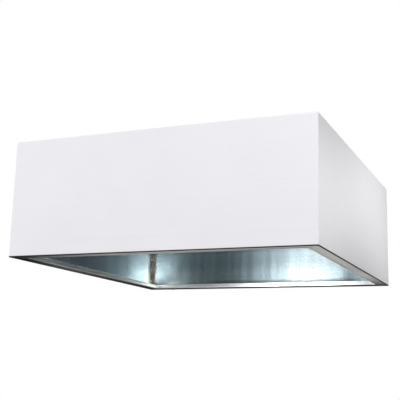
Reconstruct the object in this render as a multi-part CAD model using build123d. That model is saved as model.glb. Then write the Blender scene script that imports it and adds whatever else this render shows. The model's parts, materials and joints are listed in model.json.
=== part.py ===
from build123d import *
import math
import os

# Dishwasher condensate hood, a square sheet metal canopy hung over the machine.
# Millimetres. X runs left to right, Y front to back, Z up. The origin is the centre of
# the open mouth, in the plane of the rim's underside.

# Overrun of a cut past the face it opens
CUT = 1.0

# Canopy
HOOD_W = 1200.0
HOOD_D = 1200.0
HOOD_H = 450.0
SHEET = 1.0
BEND_IN = 2.0
TOP_FLANGE = 25.0
SIDE_RETURN = 25.0
RIM_RETURN = 12.0
SEAM_GAP = 0.3
RETURN_MITRE_GAP = 0.6
ROOF_SETBACK = 4.0

# Gutter round the mouth
GUTTER_W = 50.0
GUTTER_LIP_H = 20.0
GUTTER_LEG_H = 23.0
GUTTER_HEM = 8.0
GUTTER_HEM_GAP = 0.2
GUTTER_MITRE_GAP = 2.0
SEAL_BEAD_H = 2.5
SEAL_CAP_W = 6.0
SEAL_CAP_H = 0.8
NOTCH_MARGIN = 1.5

# Blind rivets
RIVET_R = 2.0
RIVET_HEAD_R = 4.0
RIVET_HEAD_H = 1.4
RIVET_TAIL_R = 3.0
RIVET_TAIL_L = 4.5
RIVET_CLEAR = 0.05
RIVET_SHOULDER_R = 2.5
RIVET_SHOULDER_H = 1.0
RIVET_TAIL_END_R = 1.6
RIVET_TAIL_SHARE = 0.7
ROOF_RIVETS_PER_SIDE = 11
ROOF_RIVET_INSET = 14.0
ROOF_RIVET_END = 60.0

# Roof stiffeners, hat sections that run front to back
STIFFENER_X = 330.0
STIFFENER_LEN = 960.0
STIFFENER_TOP_W = 30.0
STIFFENER_H = 20.0
STIFFENER_FOOT = 20.0
STIFFENER_RIVETS = 7
STIFFENER_RIVET_END = 30.0

# Hanger brackets at the roof's corners, for threaded rod
HANGER_HOLE_R = 5.5
HANGER_INSET_X = 35.0
HANGER_INSET_Y = 70.0
HANGER_PLATE = 3.0
HANGER_W = 44.0
HANGER_FOOT = 50.0
HANGER_RISE = 12.0
HANGER_HOLE_TO_RISER = 18.0
HANGER_HOLE_TO_END = 17.0
HANGER_BEND_IN = 3.0
HANGER_BOLT_SPACING = 26.0
BACKING_PLATE = 3.0
BACKING_MARGIN = 4.0

# Hexagon bolts of the hangers, M6
BOLT_R = 3.0
BOLT_HOLE_R = 3.3
BOLT_HEX = 10.0
BOLT_HEAD_H = 4.0
BOLT_NUT_H = 5.0
BOLT_TIP = 3.0
BOLT_THREAD_CLEAR = 0.03
NUT_BEVEL_SHARE = 0.6
WASHER_R = 6.0
WASHER_T = 1.6

# Duct spigot for a 200 mm duct
SPIGOT_R = 99.5
SPIGOT_H = 150.0
SPIGOT_FLANGE_R = 130.0
SPIGOT_RIVETS = 8
SPIGOT_RIVET_CIRCLE_R = 118.0
GASKET_T = 3.0
DUCT_LENGTH = 60.0
BEAD_R = 2.5

# Volume damper in the spigot
DAMPER_AXIS_H = 45.0
BLADE_CLEAR = 2.0
BLADE_T = 1.5
SPINDLE_R = 5.0
SPINDLE_CLEAR = 0.05
SPINDLE_LEFT_END = 9.0
BUSH_WALL = 2.0
BUSH_FLANGE = 3.0
BUSH_FLANGE_T = 2.0
BUSH_INSIDE = 0.5
SADDLE_X = 55.0
SADDLE_W = 16.0
SADDLE_T = 1.5
SADDLE_FOOT = 10.0
SADDLE_RIVET_R = 1.5
CLIP_T = 1.2
CLIP_R = 8.0
CLIP_GROOVE_R = 4.0
CLIP_CLEAR = 0.3
CLIP_MOUTH = 6.4
QUADRANT_T = 2.0
QUADRANT_STANDOFF = 12.5
QUADRANT_R = 56.0
QUADRANT_HUB_R = 16.0
QUADRANT_OVERRUN = 12.0
QUADRANT_LEG_Y = 28.0
QUADRANT_LEG_H = 20.0
QUADRANT_FOOT_Y = 44.0
QUADRANT_RIVET_TAIL = 0.9
SLOT_R = 45.0
SLOT_CLEAR = 0.3
HANDLE_GAP = 0.4
HANDLE_T = 2.5
HANDLE_W = 16.0
HANDLE_L = 92.0
HANDLE_STUD_R = 4.0
HANDLE_FLAT = 3.2
HANDLE_CHAMFER = 0.4
DAMPER_NUT_HEX = 13.0
DAMPER_NUT_H = 5.0
DAMPER_SWEEP = 90.0
LOCK_BOLT_TIP = 3.0
WING_HUB_R = 5.5
WING_HUB_TOP_R = 4.5
WING_HUB_H = 6.5
WING_SPAN = 14.0
WING_H = 11.0
WING_T = 2.2
WING_FOOT_H = 1.0
WING_WAIST_H = 6.0
WING_TIP_W = 4.0
WING_TIP_SLOPE = 1.0
WING_TIP_R = 1.8
WING_GAP = 0.3

# Gutter drain through the rear wall, quarter inch pipe thread
DRAIN_INSET = 100.0
DRAIN_Z = 13.0
DRAIN_THREAD_R = 6.5
DRAIN_HOLE_CLEAR = 0.15
DRAIN_BORE_R = 4.5
DRAIN_HEAD_R = 10.0
DRAIN_HEAD_T = 3.0
DRAIN_GASKET_T = 1.5
DRAIN_WASHER_T = 1.0
DRAIN_WASHER_R = 9.5
DRAIN_NUT_H = 5.0
DRAIN_HEX = 17.0
DRAIN_SHANK = 17.0
VALVE_START = 8.0
VALVE_BODY_L = 30.0
VALVE_BODY_R = 10.0
VALVE_INLET_HEX_L = 8.0
VALVE_CAVITY_R = 8.0
VALVE_SHOULDER = 20.5
VALVE_END_L = 12.0
VALVE_SOCKET_R = 5.72
VALVE_SOCKET_DEPTH = 10.0
BALL_R = 7.0
BALL_CLEAR = 0.03
SEAT_T = 2.6
SEAT_WRAP = 2.2
STEM_R = 3.0
STEM_TANG_T = 1.8
STEM_TANG_W = 5.0
STEM_TANG_DEPTH = 2.0
STEM_TANG_CLEAR = 0.1
STEM_SQUARE = 4.0
STEM_THREAD_R = 2.0
BOSS_R = 5.5
BOSS_TOP = 17.0
PACKING_HEX = 12.0
PACKING_H = 5.0
LEVER_GAP = 0.5
LEVER_T = 2.0
LEVER_W = 10.0
LEVER_L = 55.0
LEVER_EYE_R = 6.0
LEVER_NUT_HEX = 7.0
LEVER_NUT_H = 3.2
GRIP_W = 13.0
GRIP_T = 6.0
GRIP_L = 36.0
GRIP_OVERHANG = 3.0
GRIP_CORNER_R = 5.85
GRIP_EDGE_R = 2.4

# Heights and radii that follow from the sizes above
BEND_OUT = BEND_IN + SHEET
FLANGE_Z = HOOD_H - SHEET
GUTTER_Z = SHEET
GUTTER_FLOOR = GUTTER_Z + SHEET
LEG_TOP = GUTTER_Z + GUTTER_LEG_H
SPIGOT_TOP = HOOD_H + SPIGOT_H
SPIGOT_BORE_R = SPIGOT_R - SHEET
BEAD_Z = SPIGOT_TOP - DUCT_LENGTH
DRAIN_X = DRAIN_INSET - HOOD_W / 2
DRAIN_GASKET_R = DRAIN_Z - GUTTER_FLOOR - BEND_IN - DRAIN_HOLE_CLEAR
DAMPER_Z = HOOD_H + DAMPER_AXIS_H
BLADE_TOP = DAMPER_Z - SPINDLE_R
BUSH_R = SPINDLE_R + BUSH_WALL
BUSH_FLANGE_R = BUSH_R + BUSH_FLANGE
BUSH_OUT = SPIGOT_R + RIVET_CLEAR
QUADRANT_X = SPIGOT_R + QUADRANT_STANDOFF
HANDLE_X = QUADRANT_X + QUADRANT_T + HANDLE_GAP
STUD_X = HANDLE_X + HANDLE_T
VALVE_BALL_Z = VALVE_SHOULDER + SEAT_T + BALL_R - SEAT_WRAP
VALVE_PLUG_Z = 2 * VALVE_BALL_Z - VALVE_SHOULDER
VALVE_END_Z = VALVE_START + VALVE_BODY_L
LEVER_Z = BOSS_TOP + PACKING_H + LEVER_GAP

# Each wall is drawn as the front one and turned: name, turn in degrees, length, span across
WALLS = {
    "front": (0, HOOD_W, HOOD_D),
    "right": (90, HOOD_D, HOOD_W),
    "rear": (180, HOOD_W, HOOD_D),
    "left": (270, HOOD_D, HOOD_W),
}
CORNERS = {
    "front_left": (-1, -1),
    "front_right": (1, -1),
    "rear_left": (-1, 1),
    "rear_right": (1, 1),
}


def sheet_face(points, side, radii, thickness=SHEET):
    """Section of a folded sheet, from the line of one face and the side its thickness lies on."""
    line = FilletPolyline(*points, radius=radii)
    outline = offset(line, amount=thickness, side=side, closed=True)
    return make_face(outline.edges())


def folded(plane, points, side, radii, length, thickness=SHEET):
    """Folded sheet of constant section, centred on the plane."""
    section = plane * sheet_face(points, side, radii, thickness)
    return extrude(section, amount=length / 2, both=True)


def block(x0, x1, y0, y1, z0, z1):
    """Box between two corners."""
    return Pos((x0 + x1) / 2, (y0 + y1) / 2, (z0 + z1) / 2) * Box(x1 - x0, y1 - y0, z1 - z0)


def rod(radius, z0, z1):
    """Upright round bar between two heights."""
    return Pos(0, 0, (z0 + z1) / 2) * Cylinder(radius, z1 - z0)


def ring(inner, outer, z0, z1):
    """Upright ring between two heights."""
    return rod(outer, z0, z1) - rod(inner, z0 - CUT, z1 + CUT)


def hexagon(across_flats, z0, z1):
    """Hexagonal bar between two heights, with flats facing front and back."""
    corner_r = across_flats / math.sqrt(3)
    section = Pos(0, 0, z0) * RegularPolygon(corner_r, 6)
    return extrude(section, amount=z1 - z0)


def hex_nut(across_flats, bore_r, z0, z1):
    """Hexagon nut with both faces chamfered to a circle."""
    height = z1 - z0
    corner_r = across_flats / math.sqrt(3)
    bevel = corner_r - across_flats / 2
    round_off = chamfer(rod(corner_r, z0, z1).edges(), length=bevel * NUT_BEVEL_SHARE, length2=bevel)
    nut = hexagon(across_flats, z0, z1) & round_off
    return nut - Pos(0, 0, z0 + height / 2) * Cylinder(bore_r, height * 2)


def sector(length, across, gap):
    """Plan area of the front wall's flanges, mitred to its neighbours with a gap between them."""
    step = gap / math.sqrt(2)
    deep = 2 * GUTTER_W
    half = length / 2
    front = -across / 2
    area = Polygon(
        (-half + step, front),
        (half - step, front),
        (half - step - deep, front + deep),
        (-half + step + deep, front + deep),
        align=None,
    )
    return extrude(Pos(0, 0, -HOOD_H) * area, amount=3 * HOOD_H)


def along(start, end, count):
    """Evenly spaced places from start to end."""
    return [start + (end - start) * i / (count - 1) for i in range(count)]


def wall_section(sheet_length, length, across):
    """Wall with its rim return and top flange, both mitred, drawn as the front one."""
    front = -across / 2
    points = [
        (front + RIM_RETURN, 0),
        (front, 0),
        (front, FLANGE_Z),
        (front + TOP_FLANGE, FLANGE_Z),
    ]
    wall = folded(Plane.YZ, points, Side.RIGHT, BEND_OUT, sheet_length)
    keep = sector(length, across, RETURN_MITRE_GAP)
    flat = front + BEND_OUT
    for z0, z1 in ((-SHEET, BEND_IN), (FLANGE_Z - BEND_IN, FLANGE_Z + SHEET)):
        flanges = block(-length, length, flat, flat + TOP_FLANGE, z0, z1)
        wall -= flanges - keep
    return wall


def corner_shell(x, y, z):
    """Rounded sheet corner where a vertical bend meets a horizontal one, outside towards x, y, z."""
    shell = Sphere(BEND_OUT) - Sphere(BEND_IN)
    reach = BEND_OUT * 2
    octant = block(*sorted((0, x * reach)), *sorted((0, y * reach)), *sorted((0, z * reach)))
    return shell & octant


def wrapped_wall():
    """Front wall: its sheet also turns both vertical corners and returns inside the side walls."""
    half = HOOD_W / 2 - SHEET
    front = -HOOD_D / 2
    wall = wall_section(2 * (half - BEND_OUT), HOOD_W, HOOD_D)
    points = [
        (half, front + SIDE_RETURN),
        (half, front),
        (-half, front),
        (-half, front + SIDE_RETURN),
    ]
    low = BEND_OUT
    high = FLANGE_Z - BEND_OUT
    upright = extrude(sheet_face(points, Side.RIGHT, BEND_OUT), amount=high - low)
    upright = Pos(0, 0, low) * upright
    notch_top = LEG_TOP + SEAL_BEAD_H + NOTCH_MARGIN
    behind_bend = front + BEND_OUT
    upright -= block(-HOOD_W, HOOD_W, behind_bend, behind_bend + SIDE_RETURN, 0, notch_top)
    wall += upright
    for x in (-1, 1):
        for z, height in ((-1, low), (1, high)):
            wall += Pos(x * (half - BEND_OUT), behind_bend, height) * corner_shell(x, -1, z)
    return cut_rivet_holes(wall, "front")


def side_wall(name):
    """Side wall: a plain sheet between the front and rear bends, lapped over their returns."""
    length, across = WALLS[name][1:]
    wall = wall_section(length - 2 * (BEND_OUT + SEAM_GAP), length, across)
    return cut_rivet_holes(wall, name)


def roof_rivet_places(name):
    """Rivets along one wall's top flange, drawn as the front one."""
    length, across = WALLS[name][1:]
    end = length / 2 - ROOF_RIVET_END
    return [(x, -across / 2 + ROOF_RIVET_INSET) for x in along(-end, end, ROOF_RIVETS_PER_SIDE)]


def cut_rivet_holes(wall, name):
    """Roof rivet holes in a top flange."""
    for x, y in roof_rivet_places(name):
        wall -= Pos(x, y) * rod(RIVET_R + RIVET_CLEAR, FLANGE_Z - 2 * SHEET, HOOD_H)
    return wall


def turned(solid, name):
    """A front piece turned to its own wall."""
    return Rot(0, 0, WALLS[name][0]) * solid


def rivet(grip, radius=RIVET_R, tail=RIVET_TAIL_L):
    """Blind rivet with its head on z = 0 and its tail under the grip."""
    share = radius / RIVET_R
    head_r = RIVET_HEAD_R * share
    head_h = RIVET_HEAD_H * share
    tail_r = RIVET_TAIL_R * share
    tail_l = tail * share
    shoulder = (RIVET_SHOULDER_R * share, RIVET_SHOULDER_H * share)
    dome = ThreePointArc((0, head_h), shoulder, (head_r, 0))
    side = Polyline(
        (head_r, 0),
        (radius, 0),
        (radius, -grip),
        (tail_r, -grip),
        (tail_r, -grip - tail_l * RIVET_TAIL_SHARE),
        (RIVET_TAIL_END_R * share, -grip - tail_l),
        (0, -grip - tail_l),
        (0, head_h),
    )
    return revolve(Plane.XZ * make_face([*dome.edges(), *side.edges()]), Axis.Z)


def roof_rivets():
    """Rivets that hold the roof to the four walls."""
    one = rivet(2 * SHEET)
    found = []
    for name in WALLS:
        for x, y in roof_rivet_places(name):
            found.append(turned(Pos(x, y, HOOD_H) * one, name))
    return found


def channel(name, gap):
    """One gutter channel in place: outer leg, floor and a hemmed inner lip, with mitred ends."""
    length, across = WALLS[name][1:]
    outer = -across / 2 + SHEET
    lip = -across / 2 + GUTTER_W
    hem_r = SHEET + GUTTER_HEM_GAP / 2
    fold = GUTTER_LIP_H - hem_r
    points = [(outer, LEG_TOP), (outer, GUTTER_Z), (lip, GUTTER_Z), (lip, fold)]
    section = sheet_face(points, Side.LEFT, BEND_OUT)
    curl = Circle(hem_r) - Circle(hem_r - SHEET) - Pos(0, -hem_r) * Rectangle(3 * hem_r, 2 * hem_r)
    section += Pos(lip - hem_r, fold) * curl
    tongue = GUTTER_HEM - hem_r
    section += Pos(lip - 2 * hem_r + SHEET / 2, fold - tongue / 2) * Rectangle(SHEET, tongue)
    whole = extrude(Plane.YZ * section, amount=length / 2, both=True)
    return turned(whole & sector(length, across, gap), name)


def corner_room(x, y):
    """Room for the vertical bend of the front or rear wall at one corner."""
    near_x = HOOD_W / 2 - SHEET - BEND_OUT - SEAM_GAP
    near_y = HOOD_D / 2 - BEND_OUT - SEAM_GAP
    xs = sorted((x * near_x, x * HOOD_W))
    ys = sorted((y * near_y, y * HOOD_D))
    return block(*xs, *ys, 0, HOOD_H)


def gutter(name):
    """Gutter channel of one wall, clear of the corner bends, and drilled for the drain at the rear."""
    found = channel(name, GUTTER_MITRE_GAP)
    for x, y in CORNERS.values():
        found -= corner_room(x, y)
    return found - drain_hole() if name == "rear" else found


def wall_seals():
    """Sealant bead on each gutter's outer leg, up against its wall."""
    found = []
    for name, (_, length, across) in WALLS.items():
        outer = -across / 2 + SHEET
        section = Plane.YZ * Polygon(
            (outer, LEG_TOP),
            (outer + SHEET, LEG_TOP),
            (outer, LEG_TOP + SEAL_BEAD_H),
            align=None,
        )
        reach = length / 2 - SHEET - BEND_OUT - SEAM_GAP
        found.append(turned(extrude(section, amount=reach, both=True), name))
    return found


def corner_seal(x, y):
    """Sealant that fills one mitred gutter corner, with a wider bead along its floor."""
    whole = channel("rear" if y > 0 else "front", 0) + channel("right" if x > 0 else "left", 0)
    diagonal = math.sqrt(2)
    half_gap = GUTTER_MITRE_GAP / 2
    reach = 2 * GUTTER_W
    seal = at_corner(block(0, reach, -half_gap, half_gap, 0, HOOD_H), x, y) & whole
    start = (SHEET + BEND_OUT) * diagonal
    end = (GUTTER_W - 2 * SHEET - GUTTER_HEM_GAP - BEND_OUT) * diagonal
    half_cap = SEAL_CAP_W / 2
    cap = block(start, end, -half_cap, half_cap, GUTTER_FLOOR, GUTTER_FLOOR + SEAL_CAP_H)
    legs = channel("rear" if y > 0 else "front", -reach) + channel("right" if x > 0 else "left", -reach)
    return seal + (at_corner(cap, x, y) - legs) - corner_room(x, y)


def at_corner(solid, x, y):
    """A piece drawn from the origin along X, laid from one plan corner towards the middle."""
    inwards = math.degrees(math.atan2(-y, -x))
    return Pos(x * HOOD_W / 2, y * HOOD_D / 2) * Rot(0, 0, inwards) * solid


def roof():
    """Flat roof sheet on the walls' top flanges."""
    half_w = HOOD_W / 2 - ROOF_SETBACK
    half_d = HOOD_D / 2 - ROOF_SETBACK
    sheet = block(-half_w, half_w, -half_d, half_d, FLANGE_Z, HOOD_H)
    holes = [rod(SPIGOT_BORE_R, FLANGE_Z - CUT, HOOD_H + CUT)]
    small = rod(RIVET_R + RIVET_CLEAR, FLANGE_Z - CUT, HOOD_H + CUT)
    for name in WALLS:
        for x, y in roof_rivet_places(name):
            holes.append(turned(Pos(x, y) * small, name))
    for x, y in stiffener_rivet_places():
        holes.append(Pos(x, y) * small)
    for x, y in spigot_rivet_places():
        holes.append(Pos(x, y) * small)
    bolt_hole = rod(BOLT_HOLE_R, FLANGE_Z - CUT, HOOD_H + CUT)
    for corner in CORNERS.values():
        for x, y in hanger_bolt_places(*corner):
            holes.append(Pos(x, y) * bolt_hole)
    return sheet - holes


def stiffener_rivet_places(x_side=None):
    """Rivets through both feet of the stiffeners, or of the one on one side."""
    offset_x = STIFFENER_TOP_W / 2 + STIFFENER_FOOT / 2 + BEND_IN
    end = STIFFENER_LEN / 2 - STIFFENER_RIVET_END
    sides = (-1, 1) if x_side is None else (x_side,)
    found = []
    for side in sides:
        for foot in (-offset_x, offset_x):
            for y in along(-end, end, STIFFENER_RIVETS):
                found.append((side * STIFFENER_X + foot, y))
    return found


def stiffener(side):
    """Hat section on the roof, riveted through both feet."""
    top = STIFFENER_TOP_W / 2
    foot = top + BEND_IN + STIFFENER_FOOT
    points = [
        (-foot, HOOD_H),
        (-top, HOOD_H),
        (-top, HOOD_H + STIFFENER_H),
        (top, HOOD_H + STIFFENER_H),
        (top, HOOD_H),
        (foot, HOOD_H),
    ]
    radii = [BEND_OUT, BEND_IN, BEND_IN, BEND_OUT]
    hat = Pos(side * STIFFENER_X) * folded(Plane.XZ, points, Side.LEFT, radii, STIFFENER_LEN)
    for x, y in stiffener_rivet_places(side):
        hat -= Pos(x, y) * rod(RIVET_R + RIVET_CLEAR, HOOD_H - CUT, HOOD_H + 2 * SHEET)
    return hat


def stiffener_rivets():
    """Rivets of both stiffeners."""
    one = rivet(2 * SHEET)
    return [Pos(x, y, HOOD_H + SHEET) * one for x, y in stiffener_rivet_places()]


def hanger_hole(x, y):
    """Centre of one hanger's rod hole."""
    return x * (HOOD_W / 2 - HANGER_INSET_X), y * (HOOD_D / 2 - HANGER_INSET_Y)


def hanger_foot_centre(x, y):
    """Middle of the flat foot of one hanger."""
    hole_x, hole_y = hanger_hole(x, y)
    flat = HANGER_FOOT - 2 * HANGER_BEND_IN
    foot_x = abs(hole_x) - HANGER_HOLE_TO_RISER - 2 * HANGER_BEND_IN - flat / 2
    return x * foot_x, hole_y


def hanger_bolt_places(x, y):
    """The two bolts of one hanger."""
    foot_x, foot_y = hanger_foot_centre(x, y)
    half = HANGER_BOLT_SPACING / 2
    return [(foot_x, foot_y - half), (foot_x, foot_y + half)]


def hanger(x, y):
    """Z bracket with its foot on the roof and its tab, with the rod hole, towards the side."""
    hole_x, hole_y = hanger_hole(1, y)
    riser = hole_x - HANGER_HOLE_TO_RISER
    points = [
        (riser - HANGER_FOOT, HOOD_H),
        (riser, HOOD_H),
        (riser, HOOD_H + HANGER_RISE),
        (hole_x + HANGER_HOLE_TO_END, HOOD_H + HANGER_RISE),
    ]
    radii = [HANGER_BEND_IN + HANGER_PLATE, HANGER_BEND_IN]
    plate = folded(Plane.XZ, points, Side.LEFT, radii, HANGER_W, HANGER_PLATE)
    upright = plate.edges().filter_by(Axis.Z).group_by(Axis.X)
    plate = fillet([*upright[0], *upright[-1]], radius=BEND_OUT)
    plate = Pos(0, hole_y) * plate
    plate -= Pos(hole_x, hole_y) * rod(HANGER_HOLE_R, HOOD_H, HOOD_H + 2 * HANGER_RISE)
    for bolt_x, bolt_y in hanger_bolt_places(1, y):
        plate -= Pos(bolt_x, bolt_y) * rod(BOLT_HOLE_R, HOOD_H - CUT, HOOD_H + 2 * HANGER_PLATE)
    return plate if x > 0 else mirror(plate, about=Plane.YZ)


def backing_plate(x, y):
    """Plate under the roof that spreads the load of one hanger."""
    foot_x, foot_y = hanger_foot_centre(x, y)
    width = HANGER_FOOT - 2 * HANGER_BEND_IN - BACKING_MARGIN
    under = FLANGE_Z - BACKING_PLATE
    plate = Pos(foot_x, foot_y) * block(
        -width / 2, width / 2, -HANGER_W / 2, HANGER_W / 2, under, FLANGE_Z
    )
    plate = fillet(plate.edges().filter_by(Axis.Z), radius=BEND_OUT)
    for bolt_x, bolt_y in hanger_bolt_places(x, y):
        plate -= Pos(bolt_x, bolt_y) * rod(BOLT_HOLE_R, under - CUT, FLANGE_Z + CUT)
    return plate


def at_hanger_bolts(solid):
    """Copies of one fastener at all hanger bolts."""
    found = []
    for corner in CORNERS.values():
        for x, y in hanger_bolt_places(*corner):
            found.append(Pos(x, y) * solid)
    return found


def hanger_bolts():
    """Hexagon bolts with their heads on the hangers' feet."""
    seat = HOOD_H + HANGER_PLATE
    tip = FLANGE_Z - BACKING_PLATE - WASHER_T - BOLT_NUT_H - BOLT_TIP
    head = hex_nut(BOLT_HEX, BOLT_R, seat, seat + BOLT_HEAD_H)
    return at_hanger_bolts(head + rod(BOLT_R, tip, seat + BOLT_HEAD_H))


def hanger_washers():
    """Plain washers under the backing plates."""
    top = FLANGE_Z - BACKING_PLATE
    return at_hanger_bolts(ring(BOLT_HOLE_R, WASHER_R, top - WASHER_T, top))


def hanger_nuts():
    """Hexagon nuts under the washers."""
    top = FLANGE_Z - BACKING_PLATE - WASHER_T
    nut = hex_nut(BOLT_HEX, BOLT_R + BOLT_THREAD_CLEAR, top - BOLT_NUT_H, top)
    return at_hanger_bolts(nut)


def spigot_rivet_places():
    """Rivets of the spigot's flange."""
    places = PolarLocations(SPIGOT_RIVET_CIRCLE_R, SPIGOT_RIVETS, start_angle=180 / SPIGOT_RIVETS)
    return [(place.position.X, place.position.Y) for place in places]


def spigot():
    """Round duct collar with a flange at its foot and a stop bead below the duct."""
    foot = HOOD_H + GASKET_T
    points = [(SPIGOT_FLANGE_R, foot + SHEET), (SPIGOT_R, foot + SHEET), (SPIGOT_R, SPIGOT_TOP)]
    section = Plane.XZ * sheet_face(points, Side.LEFT, BEND_IN)
    collar = revolve(section, Axis.Z)
    at_bead = Pos(0, 0, BEAD_Z - BEAD_R)
    collar += at_bead * Torus(SPIGOT_R - SHEET / 2, BEAD_R + SHEET / 2)
    collar -= at_bead * Torus(SPIGOT_R - SHEET / 2, BEAD_R - SHEET / 2)
    inside = rod(SPIGOT_BORE_R, BEAD_Z - 4 * BEAD_R, BEAD_Z + 2 * BEAD_R)
    collar -= inside
    for x, y in spigot_rivet_places():
        collar -= Pos(x, y) * rod(RIVET_R + RIVET_CLEAR, foot - CUT, foot + 2 * SHEET)
    collar -= Pos(0, 0, DAMPER_Z) * Rot(0, 90, 0) * Cylinder(BUSH_R + SPINDLE_CLEAR, 4 * SPIGOT_R)
    for turn in quadrant_rivet_turns():
        hole = Rot(0, 0, turn) * Pos(SPIGOT_R, 0, DAMPER_Z) * Rot(0, 90, 0)
        collar -= hole * Cylinder(RIVET_R + RIVET_CLEAR, 6 * SHEET)
    return collar


def gasket():
    """Soft ring between the spigot's flange and the roof."""
    seal = ring(SPIGOT_R, SPIGOT_FLANGE_R, HOOD_H, HOOD_H + GASKET_T)
    for x, y in spigot_rivet_places():
        seal -= Pos(x, y) * rod(RIVET_R + RIVET_CLEAR, HOOD_H - CUT, HOOD_H + 2 * GASKET_T)
    return seal


def spigot_rivets():
    """Rivets through flange, gasket and roof."""
    one = rivet(2 * SHEET + GASKET_T)
    top = HOOD_H + GASKET_T + SHEET
    return [Pos(x, y, top) * one for x, y in spigot_rivet_places()]


def across_damper(solid):
    """A piece drawn upright about Z, laid along X on the damper's axis."""
    return Pos(0, 0, DAMPER_Z) * Rot(0, 90, 0) * solid


def blade():
    """Round blade that hangs just under the spindle when shut."""
    radius = SPIGOT_BORE_R - BLADE_CLEAR
    disc = rod(radius, BLADE_TOP - BLADE_T, BLADE_TOP)
    for x, y in saddle_rivet_places():
        hole = rod(SADDLE_RIVET_R + RIVET_CLEAR, BLADE_TOP - 2 * BLADE_T, BLADE_TOP + BLADE_T)
        disc -= Pos(x, y) * hole
    return disc


def saddle_rivet_places():
    """Rivets that hold the two saddles to the blade."""
    y = SPINDLE_R + SADDLE_T + SADDLE_FOOT / 2
    return [(x, side * y) for x in (-SADDLE_X, SADDLE_X) for side in (-1, 1)]


def saddle(x_side):
    """Strap over the spindle, riveted to the blade on both sides."""
    inside = SPINDLE_R + SPINDLE_CLEAR
    outside = inside + SADDLE_T
    crown = Circle(outside) - Circle(inside) - Pos(0, -outside) * Rectangle(2 * outside, 2 * outside)
    section = crown
    for side in (-1, 1):
        leg = Rectangle(SADDLE_T, SPINDLE_R, align=(Align.CENTER, Align.MAX))
        foot = Rectangle(SADDLE_T + SADDLE_FOOT, SADDLE_T, align=(Align.CENTER, Align.MIN))
        section += Pos(side * (inside + SADDLE_T / 2)) * leg
        section += Pos(side * (inside + (SADDLE_T + SADDLE_FOOT) / 2), -SPINDLE_R) * foot
    strap = extrude(Plane.YZ * section, amount=SADDLE_W / 2, both=True)
    strap = Pos(x_side * SADDLE_X, 0, DAMPER_Z) * strap
    for x, y in saddle_rivet_places():
        hole = rod(SADDLE_RIVET_R + RIVET_CLEAR, BLADE_TOP - CUT, BLADE_TOP + 2 * SADDLE_T)
        strap -= Pos(x, y) * hole
    return strap


def saddle_rivets():
    """Rivets of the two saddles."""
    one = rivet(BLADE_T + SADDLE_T, SADDLE_RIVET_R)
    return [Pos(x, y, BLADE_TOP + SADDLE_T) * one for x, y in saddle_rivet_places()]


def clip_x():
    """Outer face of the left bush, where the spindle clip lies."""
    return BUSH_OUT + BUSH_FLANGE_T + CLIP_CLEAR


def spindle():
    """Round spindle, grooved for its clip, with a flatted stud for the hand lever."""
    left = -(clip_x() + SPINDLE_LEFT_END)
    bar = rod(SPINDLE_R, left, HANDLE_X)
    stud_end = STUD_X + DAMPER_NUT_H + LOCK_BOLT_TIP
    bar += rod(HANDLE_STUD_R, HANDLE_X, stud_end)
    flats = block(-HANDLE_FLAT, HANDLE_FLAT, -SPINDLE_R, SPINDLE_R, HANDLE_X, STUD_X)
    bar -= rod(2 * SPINDLE_R, HANDLE_X, STUD_X) - flats
    groove = -(clip_x() + CLIP_T)
    bar -= ring(CLIP_GROOVE_R, 2 * SPINDLE_R, groove - CLIP_CLEAR / 2, groove + CLIP_T + CLIP_CLEAR / 2)
    return across_damper(bar)


def spindle_clip():
    """Open spring clip in the spindle's groove."""
    start = -(clip_x() + CLIP_T)
    clip = ring(CLIP_GROOVE_R + SPINDLE_CLEAR, CLIP_R, start, start + CLIP_T)
    mouth = CLIP_MOUTH / 2
    clip -= block(0, 2 * CLIP_R, -mouth, mouth, start - CUT, start + 2 * CLIP_T)
    return across_damper(clip)


def bush(side):
    """Flanged bush in the spigot's wall."""
    inner = SPIGOT_BORE_R - BUSH_INSIDE
    body = rod(BUSH_R, inner, BUSH_OUT + BUSH_FLANGE_T)
    body += rod(BUSH_FLANGE_R, BUSH_OUT, BUSH_OUT + BUSH_FLANGE_T)
    body -= rod(SPINDLE_R + SPINDLE_CLEAR, 0, 2 * SPIGOT_R)
    body = across_damper(body)
    return body if side > 0 else mirror(body, about=Plane.YZ)


def quadrant_rivet_turns():
    """Angles round the spigot of the quadrant bracket's two rivets."""
    y = (QUADRANT_LEG_Y + QUADRANT_FOOT_Y) / 2 + QUADRANT_T / 2
    turn = math.degrees(math.asin(y / SPIGOT_R))
    return (-turn, turn)


def quadrant():
    """Fixed bracket beside the hand lever, with the curved slot of the lock bolt."""
    ears = QUADRANT_LEG_Y + QUADRANT_T / 2
    plate = Circle(QUADRANT_R) & swept_wedge(QUADRANT_R, QUADRANT_OVERRUN)
    plate += Circle(QUADRANT_HUB_R)
    plate += Rectangle(2 * ears, QUADRANT_LEG_H)
    plate -= Circle(SPINDLE_R + SLOT_CLEAR)
    plate -= slot_area()
    bracket = extrude(Plane.YZ.offset(QUADRANT_X) * plate, amount=QUADRANT_T)
    seat_r = SPIGOT_R + RIVET_CLEAR
    half_h = QUADRANT_LEG_H / 2
    for side in (-1, 1):
        leg_in = side * (QUADRANT_LEG_Y - QUADRANT_T / 2)
        leg_out = side * (QUADRANT_LEG_Y + QUADRANT_T / 2)
        foot_out = side * QUADRANT_FOOT_Y
        leg = block(0, QUADRANT_X + QUADRANT_T, *sorted((leg_in, leg_out)), -half_h, half_h)
        foot = ring(seat_r, seat_r + QUADRANT_T, -half_h, half_h)
        foot = foot & block(0, QUADRANT_X, *sorted((leg_in, foot_out)), -half_h, half_h)
        bracket += (leg - rod(seat_r, -HOOD_H, HOOD_H)) + foot
    for turn in quadrant_rivet_turns():
        hole = Rot(0, 0, turn) * Pos(SPIGOT_R) * Rot(0, 90, 0)
        bracket -= hole * Cylinder(RIVET_R + RIVET_CLEAR, 6 * QUADRANT_T)
    return Pos(0, 0, DAMPER_Z) * bracket


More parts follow.
